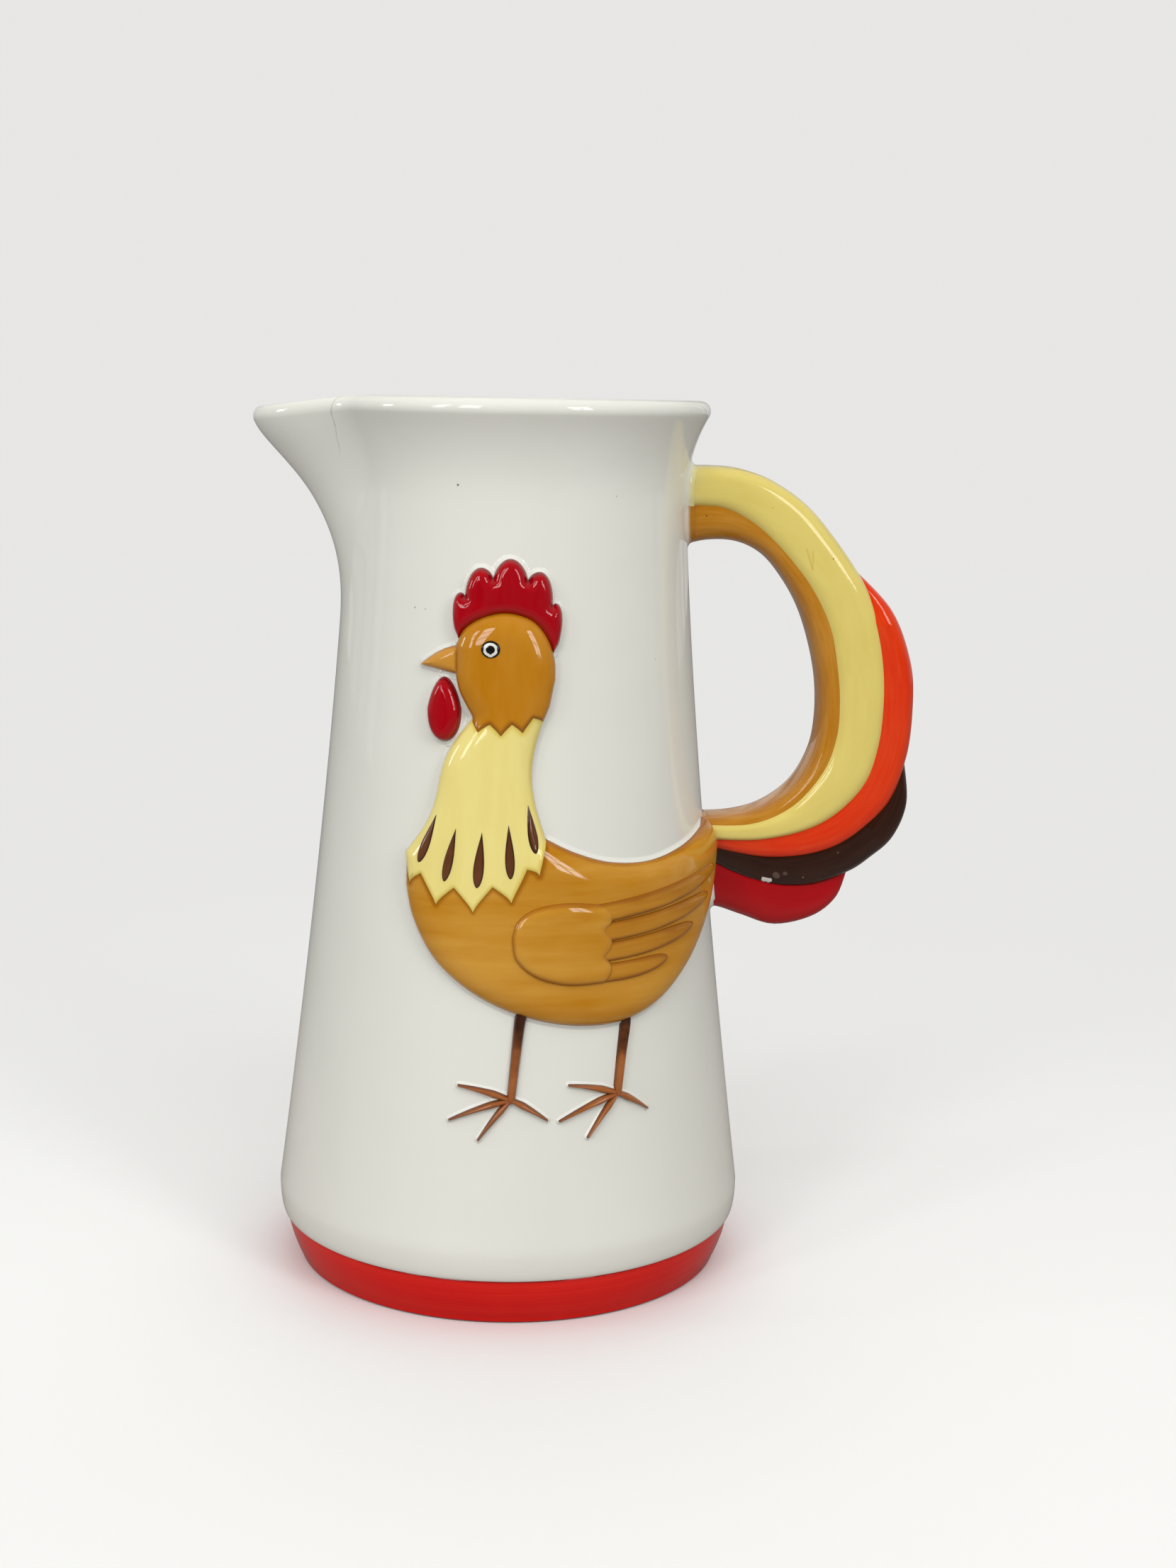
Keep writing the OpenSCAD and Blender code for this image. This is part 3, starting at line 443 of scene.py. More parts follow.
# %% A tree that turns a profile and draws out a spout
SPOUT_REACH, SPOUT_DIP = 17.4, 3.0
SPOUT_ROOT_Z, SPOUT_TOP_Z = VESSEL_H - 56.0, VESSEL_H - 2 * BEAD_R
SPOUT_HALF_DEG = 34.0
SPOUT_POWER, SPOUT_ROUND, SPOUT_WIDTH = 2.5, 1.6, 2.3


def new_tree(name, inputs):
    """An empty tree with named inputs: the helper for its nodes, and what it is given."""
    tree = bpy.data.node_groups.new(name, "GeometryNodeTree")
    for key, kind in inputs.items():
        tree.interface.new_socket(key, in_out="INPUT", socket_type="NodeSocket" + kind)
    tree.interface.new_socket("Piece", in_out="OUTPUT", socket_type="NodeSocketGeometry")
    n = Nodes(tree)
    return n, n.outs("NodeGroupInput")


def end_tree(n, geometry, material):
    glazed = n.out("GeometryNodeSetMaterial", {"Geometry": geometry, "Material": material})
    n.feed(n.add("NodeGroupOutput").inputs[0], glazed)
    return n.tree


def turned_tree():
    n, given = new_tree("turned_profile", {
        "Profile": "Geometry", "Turns": "Int", "Reach": "Float", "Dip": "Float", "Root": "Float",
        "Top": "Float", "Half Angle": "Float", "Glaze": "Material"})
    profile = given["Profile"]
    count = n.out("GeometryNodeAttributeDomainSize", {"Geometry": profile}, "Point Count")
    grid = n.out("GeometryNodeMeshGrid", {"Vertices X": given["Turns"] + 1.0, "Vertices Y": count}, "Mesh")
    index = n.out("GeometryNodeInputIndex")
    column = n.math("FLOOR", (index + 0.5) / count)
    place = n.parts(n.out("GeometryNodeSampleIndex", {
        "Geometry": profile, "Value": n.out("GeometryNodeInputPosition"),
        "Index": n.math("MODULO", index, count)}, data_type="FLOAT_VECTOR", domain="POINT"))
    angle = (column / given["Turns"] - 0.5) * math.tau
    off_front = n.math("MINIMUM", n.math("ABSOLUTE", angle) / given["Half Angle"], 1.0)
    across = n.math("COSINE", off_front * (math.pi / 2)) ** SPOUT_WIDTH
    up = n.math("DIVIDE", place["Z"] - given["Root"], given["Top"] - given["Root"], clamp=True)
    share = (1.0 - (1.0 - up ** SPOUT_POWER) ** SPOUT_ROUND) * across
    radius = share * given["Reach"] + place["X"]
    spot = n.out("ShaderNodeCombineXYZ", {
        0: radius * n.math("COSINE", angle) * -1.0, 1: radius * n.math("SINE", angle),
        2: place["Z"] - share * given["Dip"]})
    shaped = n.out("GeometryNodeSetPosition", {"Geometry": grid, "Position": spot})
    closed = n.out("GeometryNodeMergeByDistance", {"Geometry": shaped, "Distance": 1e-6})
    whole = n.out("GeometryNodeRealizeInstances", {"Geometry": closed})
    return end_tree(n, whole, given["Glaze"])


def from_tree(name, source, tree, settings):
    """Runs a tree on a mesh, and keeps the result as a plain mesh at the origin."""
    piece = new_object(name, source)
    modifier = piece.modifiers.new("tree", "NODES")
    modifier.node_group = tree
    for item in tree.interface.items_tree:
        if item.name in settings:
            modifier[item.identifier] = settings[item.name]
    bpy.context.view_layer.update()
    result = bpy.data.meshes.new_from_object(piece.evaluated_get(bpy.context.evaluated_depsgraph_get()))
    piece.modifiers.clear()
    piece.data = result
    result.name = name
    faces = [tuple(p.vertices) for p in result.polygons]
    if outward(np.array([v.co for v in result.vertices]), faces) is not faces:
        result.flip_normals()
    result.polygons.foreach_set("use_smooth", [True] * len(faces))
    return piece


def turned(name, profile, material, turns, reach=0.0):
    """A profile of (radius, height) points in millimetres, turned into a closed piece."""
    steps = [(i, i + 1) for i in range(len(profile) - 1)]
    line = new_mesh(name + "_profile", [(r, 0.0, z) for r, z in profile], steps)
    return from_tree(name, line, vessel_tree, {
        "Turns": turns, "Reach": reach * MM, "Dip": SPOUT_DIP * MM, "Root": SPOUT_ROOT_Z * MM,
        "Top": SPOUT_TOP_Z * MM, "Half Angle": math.radians(SPOUT_HALF_DEG), "Glaze": material})


vessel_tree = turned_tree()
print("tree nodes:", len(vessel_tree.nodes))

# %% [markdown]
# The profile runs like the potter's template: from the middle of the recess under the foot,
# out to the foot ring, up the wall, over the bead, down the inside and across the floor. Points
# lie closer together where the line bends, because that is where a highlight would show facets.

# %% The white body with its spout
BAND_H, BAND_R, FOOT_R = 12.0, BELLY_R - 1.8, BELLY_R - 5.1
FOOT_RING_W, OVERHANG, RECESS, FLOOR_T, FLOOR_ROUND = 3.2, 0.7, 2.5, 5.5, 20.0
SPIGOT_R, SPIGOT_ROUND = FOOT_R - FOOT_RING_W, 0.6


def arc(centre, radius, start_deg, end_deg, steps):
    a = np.radians(np.linspace(start_deg, end_deg, steps + 1))
    return np.stack([centre[0] + radius * np.cos(a), centre[1] + radius * np.sin(a)], -1)


def wall_points(heights, steps, inside=0.0):
    """Points of the wall from height to height, with so many steps in each stretch."""
    z = np.interp(np.arange(sum(steps) + 1), np.cumsum([0, *steps]), heights)
    return np.stack([wall_r(z) - inside, z], -1)


edge_r, floor_z = BAND_R + OVERHANG, RECESS + FLOOR_T
fillet_top = floor_z + FLOOR_ROUND
fillet_at = (float(wall_r(fillet_top)) - WALL_T - FLOOR_ROUND, fillet_top)
a = np.radians(np.linspace(0, 90, 11))
rounded_in = np.stack([edge_r + (BELLY_R - edge_r) * np.sin(a),
                       BELLY_Z - (BELLY_Z - BAND_H) * np.cos(a)], -1)
VESSEL_TURNS, BAND_TURNS = 352, 256
profile = np.concatenate([  # recess, spigot, seat on the band, wall, bead, inside and floor
    [[0, RECESS], [SPIGOT_R - 6, RECESS], [SPIGOT_R - 1, RECESS], [SPIGOT_R, RECESS + 1],
     [SPIGOT_R, BAND_H - SPIGOT_ROUND], [SPIGOT_R + SPIGOT_ROUND, BAND_H], [edge_r - 1.2, BAND_H],
     [edge_r - 0.5, BAND_H + 0.05]],
    rounded_in,
    wall_points([BELLY_Z, SPOUT_ROOT_Z, NECK_Z, FLARE_Z], (64, 28, 16))[1:],
    arc(BEAD_AT, BEAD_R, -30, 150, 18)[1:-1],
    wall_points([FLARE_Z, NECK_Z, SPOUT_ROOT_Z, fillet_top], (10, 18, 26), WALL_T),
    arc(fillet_at, FLOOR_ROUND, 0, -90, 14)[1:],
    [[fillet_at[0] * k, floor_z] for k in (0.75, 0.5, 0.25, 0)]])
vessel = turned("glazed_vessel", profile, white_glaze, VESSEL_TURNS, SPOUT_REACH)
dress(vessel, "white_glaze", "body_shell", "pouring_spout")

# %% [markdown]
# The foot band is the part that was dipped and banded in red while the pitcher turned on a
# wheel, so the brush left fine rings. Its side bulges a little, and its lower corner is
# rounded where the glaze was wiped off.

# %% The red foot band
BAND_ROUND, BAND_POWER = 0.8, 1.7
BAND_IN_R = SPIGOT_R + 0.3
t = np.linspace(0, 1, 17)[1:]
side = np.stack([BAND_R - (BAND_R - FOOT_R) * (1 - t) ** BAND_POWER,
                 BAND_ROUND + (BAND_H - BAND_ROUND) * t], -1)
side[-1] -= (0.25, 0.0)  # a soft upper corner
band_profile = np.concatenate([
    [[BAND_IN_R, BAND_H - 0.2], [BAND_IN_R, 1.0], [BAND_IN_R + 0.6, 0.0]],
    arc((FOOT_R - BAND_ROUND, BAND_ROUND), BAND_ROUND, -90, 0, 8), side,
    [[BAND_R - 1.2, BAND_H + 0.1], [BAND_IN_R, BAND_H - 0.2]]])
dress(turned("red_band", band_profile, red_glaze, BAND_TURNS), "red_glaze", "foot_band")

# %% [markdown]
# ## The handle
#
# The handle is five feathers side by side, from the ochre strand under the fingers to the red
# feather at the bottom. Each feather lies between two edges, and neighbours share an edge. The
# edges are smooth curves through a few points, given as shares of how far the handle reaches
# off the wall and of its height. Between its edges a feather is a rounded bar, and it tucks
# under the thicker feather before it, so the step between two colours is a real one that
# catches the light.

# %% Smooth curves and the edges of the feathers


def curve(points, steps):
    """Smooth line through points, with as many steps."""
    p = np.asarray(points, float)
    last = len(p) - 1
    t = np.linspace(0, last, steps + 1)
    i = np.minimum(t.astype(int), last - 1)
    f = (t - i)[:, None]
    a, b, c, d = p[np.maximum(i - 1, 0)], p[i], p[i + 1], p[np.minimum(i + 2, last)]
    return 0.5 * (2 * b + (c - a) * f + (2 * a - 5 * b + 4 * c - d) * f ** 2
                  + (3 * b - a - 3 * c + d) * f ** 3)


HANDLE_REACH, HANDLE_LOW, HANDLE_TOP = 55.0, 85.0, VESSEL_H - 15.5
GAP_EDGE = [
    [-0.06, 0.825], [0.08, 0.842], [0.22, 0.84], [0.34, 0.812], [0.43, 0.76], [0.5, 0.695],
    [0.545, 0.615], [0.565, 0.535], [0.555, 0.455], [0.515, 0.385], [0.42, 0.316],
    [0.28, 0.27], [0.13, 0.25], [-0.06, 0.245]]
STRAND_EDGE = [
    [-0.06, 0.912], [0.06, 0.916], [0.17, 0.908], [0.3, 0.872], [0.42, 0.815], [0.53, 0.745],
    [0.605, 0.665], [0.63, 0.585], [0.635, 0.5], [0.61, 0.42], [0.535, 0.345],
    [0.39, 0.272], [0.2, 0.232], [-0.06, 0.228]]
YELLOW_EDGE = [
    [-0.06, 0.998], [0.1, 1], [0.24, 0.993], [0.4, 0.965], [0.57, 0.905], [0.76, 0.782],
    [0.825, 0.7], [0.86, 0.61], [0.86, 0.51], [0.82, 0.4], [0.73, 0.31],
    [0.53, 0.235], [0.25, 0.202], [-0.06, 0.206]]
ORANGE_EDGE = [
    [0.76, 0.782], [0.915, 0.7], [0.99, 0.6], [1, 0.505], [0.95, 0.37],
    [0.81, 0.257], [0.58, 0.178], [0.28, 0.157], [-0.06, 0.19]]
BROWN_EDGE = [
    [0.95, 0.37], [0.95, 0.275], [0.875, 0.2], [0.76, 0.153], [0.65, 0.12],
    [0.48, 0.096], [0.3, 0.094], [0.13, 0.118], [-0.06, 0.17]]
RED_EDGE = [
    [0.65, 0.12], [0.59, 0.06], [0.47, 0.018], [0.29, 0], [0.14, 0.022], [0.03, 0.04],
    [-0.06, 0.042]]


def edge(shares, steps):
    """An edge in the handle's plane, as (distance from the axis, height)."""
    s = curve(shares, steps)
    z = HANDLE_LOW + (HANDLE_TOP - HANDLE_LOW) * s[:, 1]
    return np.stack([wall_r(z) + s[:, 0] * HANDLE_REACH, z], -1)


LONG_STEPS = 208  # steps along the longest edges
ORANGE_START = 5 * LONG_STEPS // 13  # where the orange feather leaves the yellow one
BROWN_START = 4 * (LONG_STEPS - ORANGE_START) // 8
RED_START = 4 * (LONG_STEPS - ORANGE_START - BROWN_START) // 8
gap_edge, strand_edge, yellow_edge = (edge(e, LONG_STEPS) for e in (GAP_EDGE, STRAND_EDGE, YELLOW_EDGE))
orange_edge = edge(ORANGE_EDGE, LONG_STEPS - ORANGE_START)
brown_edge = edge(BROWN_EDGE, len(orange_edge) - 1 - BROWN_START)
red_edge = edge(RED_EDGE, len(brown_edge) - 1 - RED_START)
print("feather edges:", [len(e) for e in (gap_edge, orange_edge, brown_edge, red_edge)])

# %% [markdown]
# A ring of points is put round the feather at each step, and the rings are joined into a skin.
# The ring is a superellipse, which is a rectangle with soft corners: the higher its power, the
# flatter the flank and the tighter the corner. The skin also gets a UV map that runs along the
# feather, so the brush strokes of the glaze follow the bend.

# %% A feather from its two edges
RING_POINTS = 56
SWELL_STEPS, SWELL_POWER, TIP_SHARE = 20, 0.7, 0.55
TUCK, LAP = 4.0, 0.8  # how far a feather goes under and over its neighbours


def ramp_from(count, first, length):
    """0 before a step and 1 from some steps after it."""
    return np.clip((np.arange(count) - first) / length, 0, 1)[:, None]


def square_to(path):
    """Directions square to a line, at each of its points."""
    run = np.gradient(path, axis=0)
    return np.stack([-run[:, 1], run[:, 0]], -1) / np.linalg.norm(run, axis=1)[:, None]


def lengths_along(path):
    """Length of a line from its start to each of its points."""
    return np.concatenate([[0], np.cumsum(np.linalg.norm(np.diff(path, axis=0), axis=1))])


def ring_faces(n, m):
    """Faces between n rings of m points, where the last ring is joined to the first."""
    i = np.pad(np.arange(n * m).reshape(n, m), (0, 1), mode="wrap")
    return np.stack([i[:-1, :-1], i[:-1, 1:], i[1:, 1:], i[1:, :-1]], -1).reshape(-1, 4).tolist()


def skin(rings):
    """Closed skin over rings of points, with a hub in each end."""
    n, m = rings.shape[:2]
    points = np.concatenate([rings.reshape(-1, 3), rings[:1].mean(1), rings[-1:].mean(1)])
    last, around = (n - 1) * m, [(p, (p + 1) % m) for p in range(m)]
    faces = ring_faces(n, m)[:-m] + [[q, p, n * m] for p, q in around]
    return points, outward(points, faces + [[last + p, last + q, n * m + 1] for p, q in around])


def feather(name, inner, outer, thick, power, under, over, material, tipped):
    """A feather between two edges; under and over are how far it goes past each of them."""
    square = square_to(inner)
    square *= np.sign(((outer - inner) * square).sum())
    inner, outer = inner - square * under, outer + square * over
    half = np.full(len(inner), thick / 2)
    if tipped:
        half *= TIP_SHARE + (1 - TIP_SHARE) * ramp_from(len(inner), 0, SWELL_STEPS)[:, 0] ** SWELL_POWER
    a = np.linspace(0, math.tau, RING_POINTS, endpoint=False)
    c, s = (np.sign(v) * np.abs(v) ** (2 / power) for v in (np.cos(a), np.sin(a)))
    middle, reach = (inner + outer) / 2, (outer - inner) / 2
    plane = middle[:, None] + reach[:, None] * c[None, :, None]
    rings = np.stack([plane[..., 0], half[:, None] * s[None], plane[..., 1]], -1)
    piece = new_piece(name, *skin(rings), [material])
    length = lengths_along(middle)
    along = np.concatenate([np.repeat(length, RING_POINTS), length[[0, -1]]]) / 10
    side = np.concatenate([(np.linalg.norm(reach, axis=1)[:, None] * c[None]).ravel(), [0, 0]]) / 10
    corners = np.zeros(len(piece.data.loops), int)
    piece.data.loops.foreach_get("vertex_index", corners)
    layer = piece.data.uv_layers.new(name="stroke")
    layer.data.foreach_set("uv", np.stack([along[corners], side[corners]], -1).ravel())
    return piece


print("points in a feather's ring:", RING_POINTS)

# %% The five feathers
yellow_over = LAP * ramp_from(len(yellow_edge), ORANGE_START, 16)
orange_over = LAP * ramp_from(len(orange_edge), BROWN_START, 12)
brown_over = LAP * ramp_from(len(brown_edge), RED_START, 8)
FEATHERS = (  # inner and outer edge, thickness, power, under and over its neighbours
    (gap_edge, strand_edge, 16.5, 2.9, 0.0, TUCK),
    (strand_edge, yellow_edge, 19.0, 3.7, LAP, yellow_over),
    (yellow_edge[ORANGE_START:], orange_edge, 16.5, 3.4, TUCK, orange_over),
    (orange_edge[BROWN_START:], brown_edge, 14.5, 3.2, TUCK, brown_over),
    (brown_edge[RED_START:], red_edge, 12.5, 3.6, TUCK, 0.0))
FEATHER_WORDS = (  # piece, glaze, slot and node
    ("inner_strand", strand_glaze, "ochre_glaze", "handle_inner_strand"),
    ("yellow_plume", yellow_glaze, "yellow_glaze", "yellow_feather"),
    ("orange_plume", orange_glaze, "orange_glaze", "orange_feather"),
    ("brown_plume", brown_glaze, "brown_glaze", "brown_feather"),
    ("red_plume", crimson_glaze, "crimson_glaze", "red_feather"))
for k, (row, (name, paint, slot, node)) in enumerate(zip(FEATHERS, FEATHER_WORDS)):
    dress(feather(name, *row, paint, tipped=k > 1), slot, node)

# %% [markdown]
# Where the handle meets the wall, the potter smoothed slip into the corner with a wet brush, and
# the paint gets thin over it. So each root has a small collar: a hollow curve that leaves the
# wall flat and ends square on the feathers. It follows the outline of the joined feathers, which
# is found by looking outwards from the middle of the root in every direction. Two paints meet
# on each collar, at one height.

# %% Collars at the roots of the handle
COLLAR_POINTS, COLLAR_RINGS, COLLAR_SMOOTHING = 160, 12, 14
COLLAR_SWELL, COLLAR_SUNK = 0.06, 1.0
ROOT_STEPS = 40  # steps of an edge that lie near the wall
UPPER_COLLAR, LOWER_COLLAR = 2.0, 1.5
OCHRE_FROM_Z = 103.5  # above this height the lower root is painted with the body
ROOT_OVER = (TUCK, 0.0, LAP, LAP, 0.0)


def bar_at(row, over, distance, low_end):
    """Section of a feather square to the wall at a distance off it: its middle, half height,
    half thickness and power."""
    inner, outer, thick, power, under, _ = row
    heights = []
    for e in (inner, outer):
        e = e[-ROOT_STEPS:] if low_end else e[:ROOT_STEPS]
        off = e[:, 0] - wall_r(e[:, 1])
        order = np.argsort(off)
        heights.append(float(np.interp(distance, off[order], e[order, 1])))
    way = math.copysign(1, heights[1] - heights[0])
    start, end = heights[0] - way * under, heights[1] + way * over
    return (start + end) / 2, abs(start - end) / 2, thick / 2, power


def joined_outline(bars):
    """Outline of overlapping bars, as (across, height), seen from the middle of them."""
    low, high = min(m - h for m, h, *_ in bars), max(m + h for m, h, *_ in bars)
    a = np.linspace(0, math.tau, COLLAR_POINTS, endpoint=False)[:, None]
    reach = np.linspace(0, high - low, 900)
    y, z = reach * np.cos(a), (low + high) / 2 + reach * np.sin(a)
    within = [np.abs(y / t) ** power + np.abs((z - m) / h) ** power <= 1 for m, h, t, power in bars]
    r = (np.any(within, 0) * reach).max(1, keepdims=True) + COLLAR_SWELL
    return np.concatenate([r * np.cos(a), (low + high) / 2 + r * np.sin(a)], -1)


def smoothed(loop, times):
    for _ in range(times):
        loop = (np.roll(loop, 1, 0) + 2 * loop + np.roll(loop, -1, 0)) / 4
    return loop


def loop_normals(loop):
    """Outward normals of a closed loop in its plane."""
    d = np.roll(loop, -1, 0) - np.roll(loop, 1, 0)
    n = np.stack([d[:, 1], -d[:, 0]], -1) / np.linalg.norm(d, axis=1)[:, None]
    area = np.sum(loop[:, 0] * np.roll(loop[:, 1], -1) - loop[:, 1] * np.roll(loop[:, 0], -1))
    return n if area > 0 else -n


def collar(name, bars, size, painted, low_paint, high_paint):
    """A root's collar in two paints, one below and one above the height at which they meet."""
    outline = smoothed(joined_outline(bars), COLLAR_SMOOTHING)
    normals = loop_normals(outline)
    a = np.linspace(0, math.pi / 2, COLLAR_RINGS)
    off_wall = [*size * (1 - np.cos(a)), size, -COLLAR_SUNK, -0.6 * COLLAR_SUNK]
    outwards = [*size * (1 - np.sin(a)), -COLLAR_SUNK, -COLLAR_SUNK, size]
    rings = np.array([round_wall(outline + normals * out, off, math.pi / 2)
                      for off, out in zip(off_wall, outwards)])
    points = rings.reshape(-1, 3)
    faces = outward(points, ring_faces(*rings.shape[:2]))
    is_high = points[np.array(faces), 2].mean(1) > painted
    piece = new_piece(name, points, faces, [low_paint, high_paint], is_high.astype(int))
    piece.data.set_sharp_from_angle(angle=math.radians(60))
    store(piece.data, "edge", np.repeat(off_wall, COLLAR_POINTS))
    return dress(piece, "white_glaze")


upper_bars = [bar_at(*pair, UPPER_COLLAR, False) for pair in zip(FEATHERS[:2], ROOT_OVER)]
lower_bars = [bar_at(*pair, LOWER_COLLAR, True) for pair in zip(FEATHERS, ROOT_OVER)]
YELLOW_UP = 0.9  # the yellow paint starts this far over its feather's lower edge
yellow_from = upper_bars[1][0] - upper_bars[1][1] + YELLOW_UP
collar("upper_root_collar", upper_bars, UPPER_COLLAR, yellow_from, strand_root, yellow_root)
collar("lower_root_collar", lower_bars, LOWER_COLLAR, OCHRE_FROM_Z, white_glaze, ochre_root)

# %% [markdown]
# ## The rooster
#
# The rooster is laid out flat, as places (distance round the wall, height), and then wrapped
# round the tapering wall. A pad of clay is rounded by its distance from the edge, so all of
# body, neck and head share one soft mound, and the painted areas are thin layers on it. The
# distance from a place to an outline is therefore the one thing that shapes the whole bird.

# %% Places on the wall
BIRD_LEFT, BIRD_Z, BIRD_H = 28.0, 52.0, VESSEL_H - 100.0
TAIL_R = float(wall_r(HANDLE_LOW + (HANDLE_TOP - HANDLE_LOW) * 0.28))
BIRD_L = BIRD_LEFT + TAIL_R * math.acos(10.1 / TAIL_R)
GROOVE = 0.3
HUB_DEPTH = 2.0  # how far the middle of an end lies under its back
PAD_POWER, PAD_UNDER = 2.2, -0.25  # roundness of a pad's edge, and where its back lies


def places(shares):
    """Shares of the rooster's length and height as places on the wall."""
    return np.asarray(shares, float) * (BIRD_L, BIRD_H) + (-BIRD_LEFT, BIRD_Z)


def along(line, at, steps=None):
    """The places at some steps of a line, also between its points."""
    steps = np.arange(len(line)) if steps is None else steps
    return np.stack([np.interp(at, steps, line[:, k]) for k in (0, 1)], -1)


def crowded(count):
    """Shares from 0 to 1 that lie closer together towards both."""
    return (1 - np.cos(np.linspace(0, math.pi, count))) / 2


def distance_to(place, lines):
    """Distance of each place to the nearest of some lines."""
    start = np.concatenate([line[:-1] for line in lines])
    run = np.concatenate([line[1:] for line in lines]) - start
    square = np.maximum((run ** 2).sum(-1), 1e-12)
    flat = place.reshape(-1, 2)
    best = np.empty(len(flat))
    for first in range(0, len(flat), 2000):
        p = flat[first:first + 2000, None]
        t = np.clip(((p - start) * run).sum(-1) / square, 0, 1)
        best[first:first + 2000] = np.sqrt(((start + run * t[..., None] - p) ** 2).sum(-1)).min(1)
    return best.reshape(place.shape[:-1])


def shoulder(distance, reach):
    """Rounded edge of a pad: 0 at its outline, 1 from a reach inside it."""
    return np.sqrt(1 - (1 - np.clip(distance / reach, 0, 1)) ** PAD_POWER)


def patch(lower, upper, columns, low_teeth=0.0, high_teeth=0.0, sway=None):
    """Grid of places between two edges, closer together towards them."""
    s = crowded(columns)[None, :]
    grid = lower[:, None] * (1 - s[..., None]) + upper[:, None] * s[..., None]
    if sway is not None:
        grid[..., 0] += sway[:, :1] * np.sin(math.pi * s) + sway[:, 1:] * np.sin(2 * math.pi * s)
    grid[..., 1] -= low_teeth * (1 - s) ** 2 + high_teeth * s ** 4
    return grid


def outline_of(grid):
    """Closed line round a grid of places."""
    return np.concatenate([grid[:, 0], grid[-1, 1:-1], grid[::-1, -1], grid[0, -2:0:-1], grid[:1, 0]])


def relief(grid, height, edge, under=PAD_UNDER, back_points=5):
    """Closed skin of a grid raised off the wall, with its back in the wall, and how far each of
    its points lies from the edge of the paint."""
    pick = np.linspace(grid.shape[1] - 1, 0, back_points).astype(int)
    under = np.broadcast_to(under, grid.shape[:2])
    points, faces = skin(np.concatenate(
        [round_wall(grid, height), round_wall(grid[:, pick], under[:, pick])], 1))
    points[-2:] = round_wall(grid[[0, -1]].mean(1), under[[0, -1]].mean(1) - HUB_DEPTH)
    inside = np.concatenate([edge, np.zeros((len(grid), back_points))], 1).ravel()
    return points, faces, np.concatenate([inside, edge.mean(1)[[0, -1]]])


def pad(grid, rise, reach, under=PAD_UNDER, ground=0.0):
    """A pad that is rounded all round, on the wall or on the ground of another relief."""
    inside = distance_to(grid, [outline_of(grid)])
    return relief(grid, ground + rise * shoulder(inside, reach), inside, under)


def on_both_sides(name, parts, materials, slot, *nodes, face_material=None):
    """One piece with all parts, and their mirror images on the other side of the pitcher."""
    points, faces, edges, start = [], [], [], 0
    for part_points, part_faces, part_edge in parts:
        for side in (1, -1):
            points.append(part_points * (1, side, 1))
            faces += [[i + start for i in f[::side]] for f in part_faces]
            edges.append(part_edge)
            start += len(part_points)
    piece = new_piece(name, np.concatenate(points), faces, materials, face_material)
    store(piece.data, "edge", np.concatenate(edges))
    return dress(piece, slot, *nodes)


def relief_piece(node, parts, paint, slot):
    return on_both_sides(node + "_relief", parts, [paint], slot, node)


print("rooster:", round(BIRD_L, 1), "mm long,", BIRD_H, "mm high")

# %% [markdown]
# Where two colours meet there is a hem of feather tips. The depth of a tip is one formula of
# how far along its tooth a place is, and each hem repeats it four or five times. The outline is
# left open where the tail runs into the handle, so nothing is rounded off there.

# %% Outlines of body, neck and head
TEETH, HEAD_TEETH, TOOTH_ROWS = 5, 4, 20
HEM_ROWS, THROAT_ROWS, BACK_ROWS, BELLY_ROWS = TEETH * TOOTH_ROWS, 20, 72, 240
BODY_COLUMNS, NECK_COLUMNS, HEAD_COLUMNS, BACK_POINTS = 60, 64, 52, 9
HEM_DEPTH = 5.2
NAPE_BOW, THROAT_BEND = 3.6, 1.6
INTO_HANDLE, HANDLE_DROP = 4.5, 2.0  # how far the tail goes into the handle's flank
HEM = [[0.011, 0.517], [0.087, 0.47], [0.197, 0.453], [0.306, 0.483], [0.371, 0.552]]
BACK = [[0.371, 0.552], [0.448, 0.522], [0.546, 0.498], [0.666, 0.491], [0.797, 0.504],
        [0.906, 0.522], [1, 0.537]]
BELLY = [[0.01, 0.45], [0.03, 0.385], [0.085, 0.31], [0.164, 0.255], [0.262, 0.213],
         [0.371, 0.185], [0.48, 0.172], [0.59, 0.175], [0.699, 0.203], [0.808, 0.259],
         [0.912, 0.332], [1, 0.405]]
HEAD_HEM = [[0.186, 0.789], [0.251, 0.78], [0.317, 0.789], [0.377, 0.815]]
THROAT = [[0.144, 0.871], [0.155, 0.838], [0.186, 0.792]]
CROWN = [[0.144, 0.934], [0.166, 0.967], [0.213, 0.991], [0.273, 1], [0.333, 0.985],
         [0.371, 0.948], [0.388, 0.905], [0.39, 0.868]]


def tips(teeth, rows):
    """Depth of a hem's pointed tips, as a share, along its rows."""
    t = np.linspace(0, teeth, rows + 1)[:, None]
    return 1 - np.abs(2 * (t % 1) - 1) ** 0.8


hem, back, belly, head_hem, throat, crown = (curve(places(line), rows) for line, rows in (
    (HEM, HEM_ROWS), (BACK, BACK_ROWS), (BELLY, BELLY_ROWS), (HEAD_HEM, HEM_ROWS),
    (THROAT, THROAT_ROWS), (CROWN, HEM_ROWS + THROAT_ROWS)))
neck_tips = HEM_DEPTH * tips(TEETH, HEM_ROWS)
head_tips = 0.5 * HEM_DEPTH * tips(HEAD_TEETH, HEM_ROWS)
t = np.linspace(0, 1, HEM_ROWS + 1)[:, None]
neck_sway = np.concatenate([-NAPE_BOW * t, THROAT_BEND * (1 - t)], 1)
neck_shape = patch(hem, head_hem, NECK_COLUMNS, neck_tips, head_tips, neck_sway)
jaw = np.concatenate([throat[:-1], head_hem])
head_shape = patch(jaw, crown, HEAD_COLUMNS, np.concatenate([np.zeros((THROAT_ROWS, 1)), head_tips]))
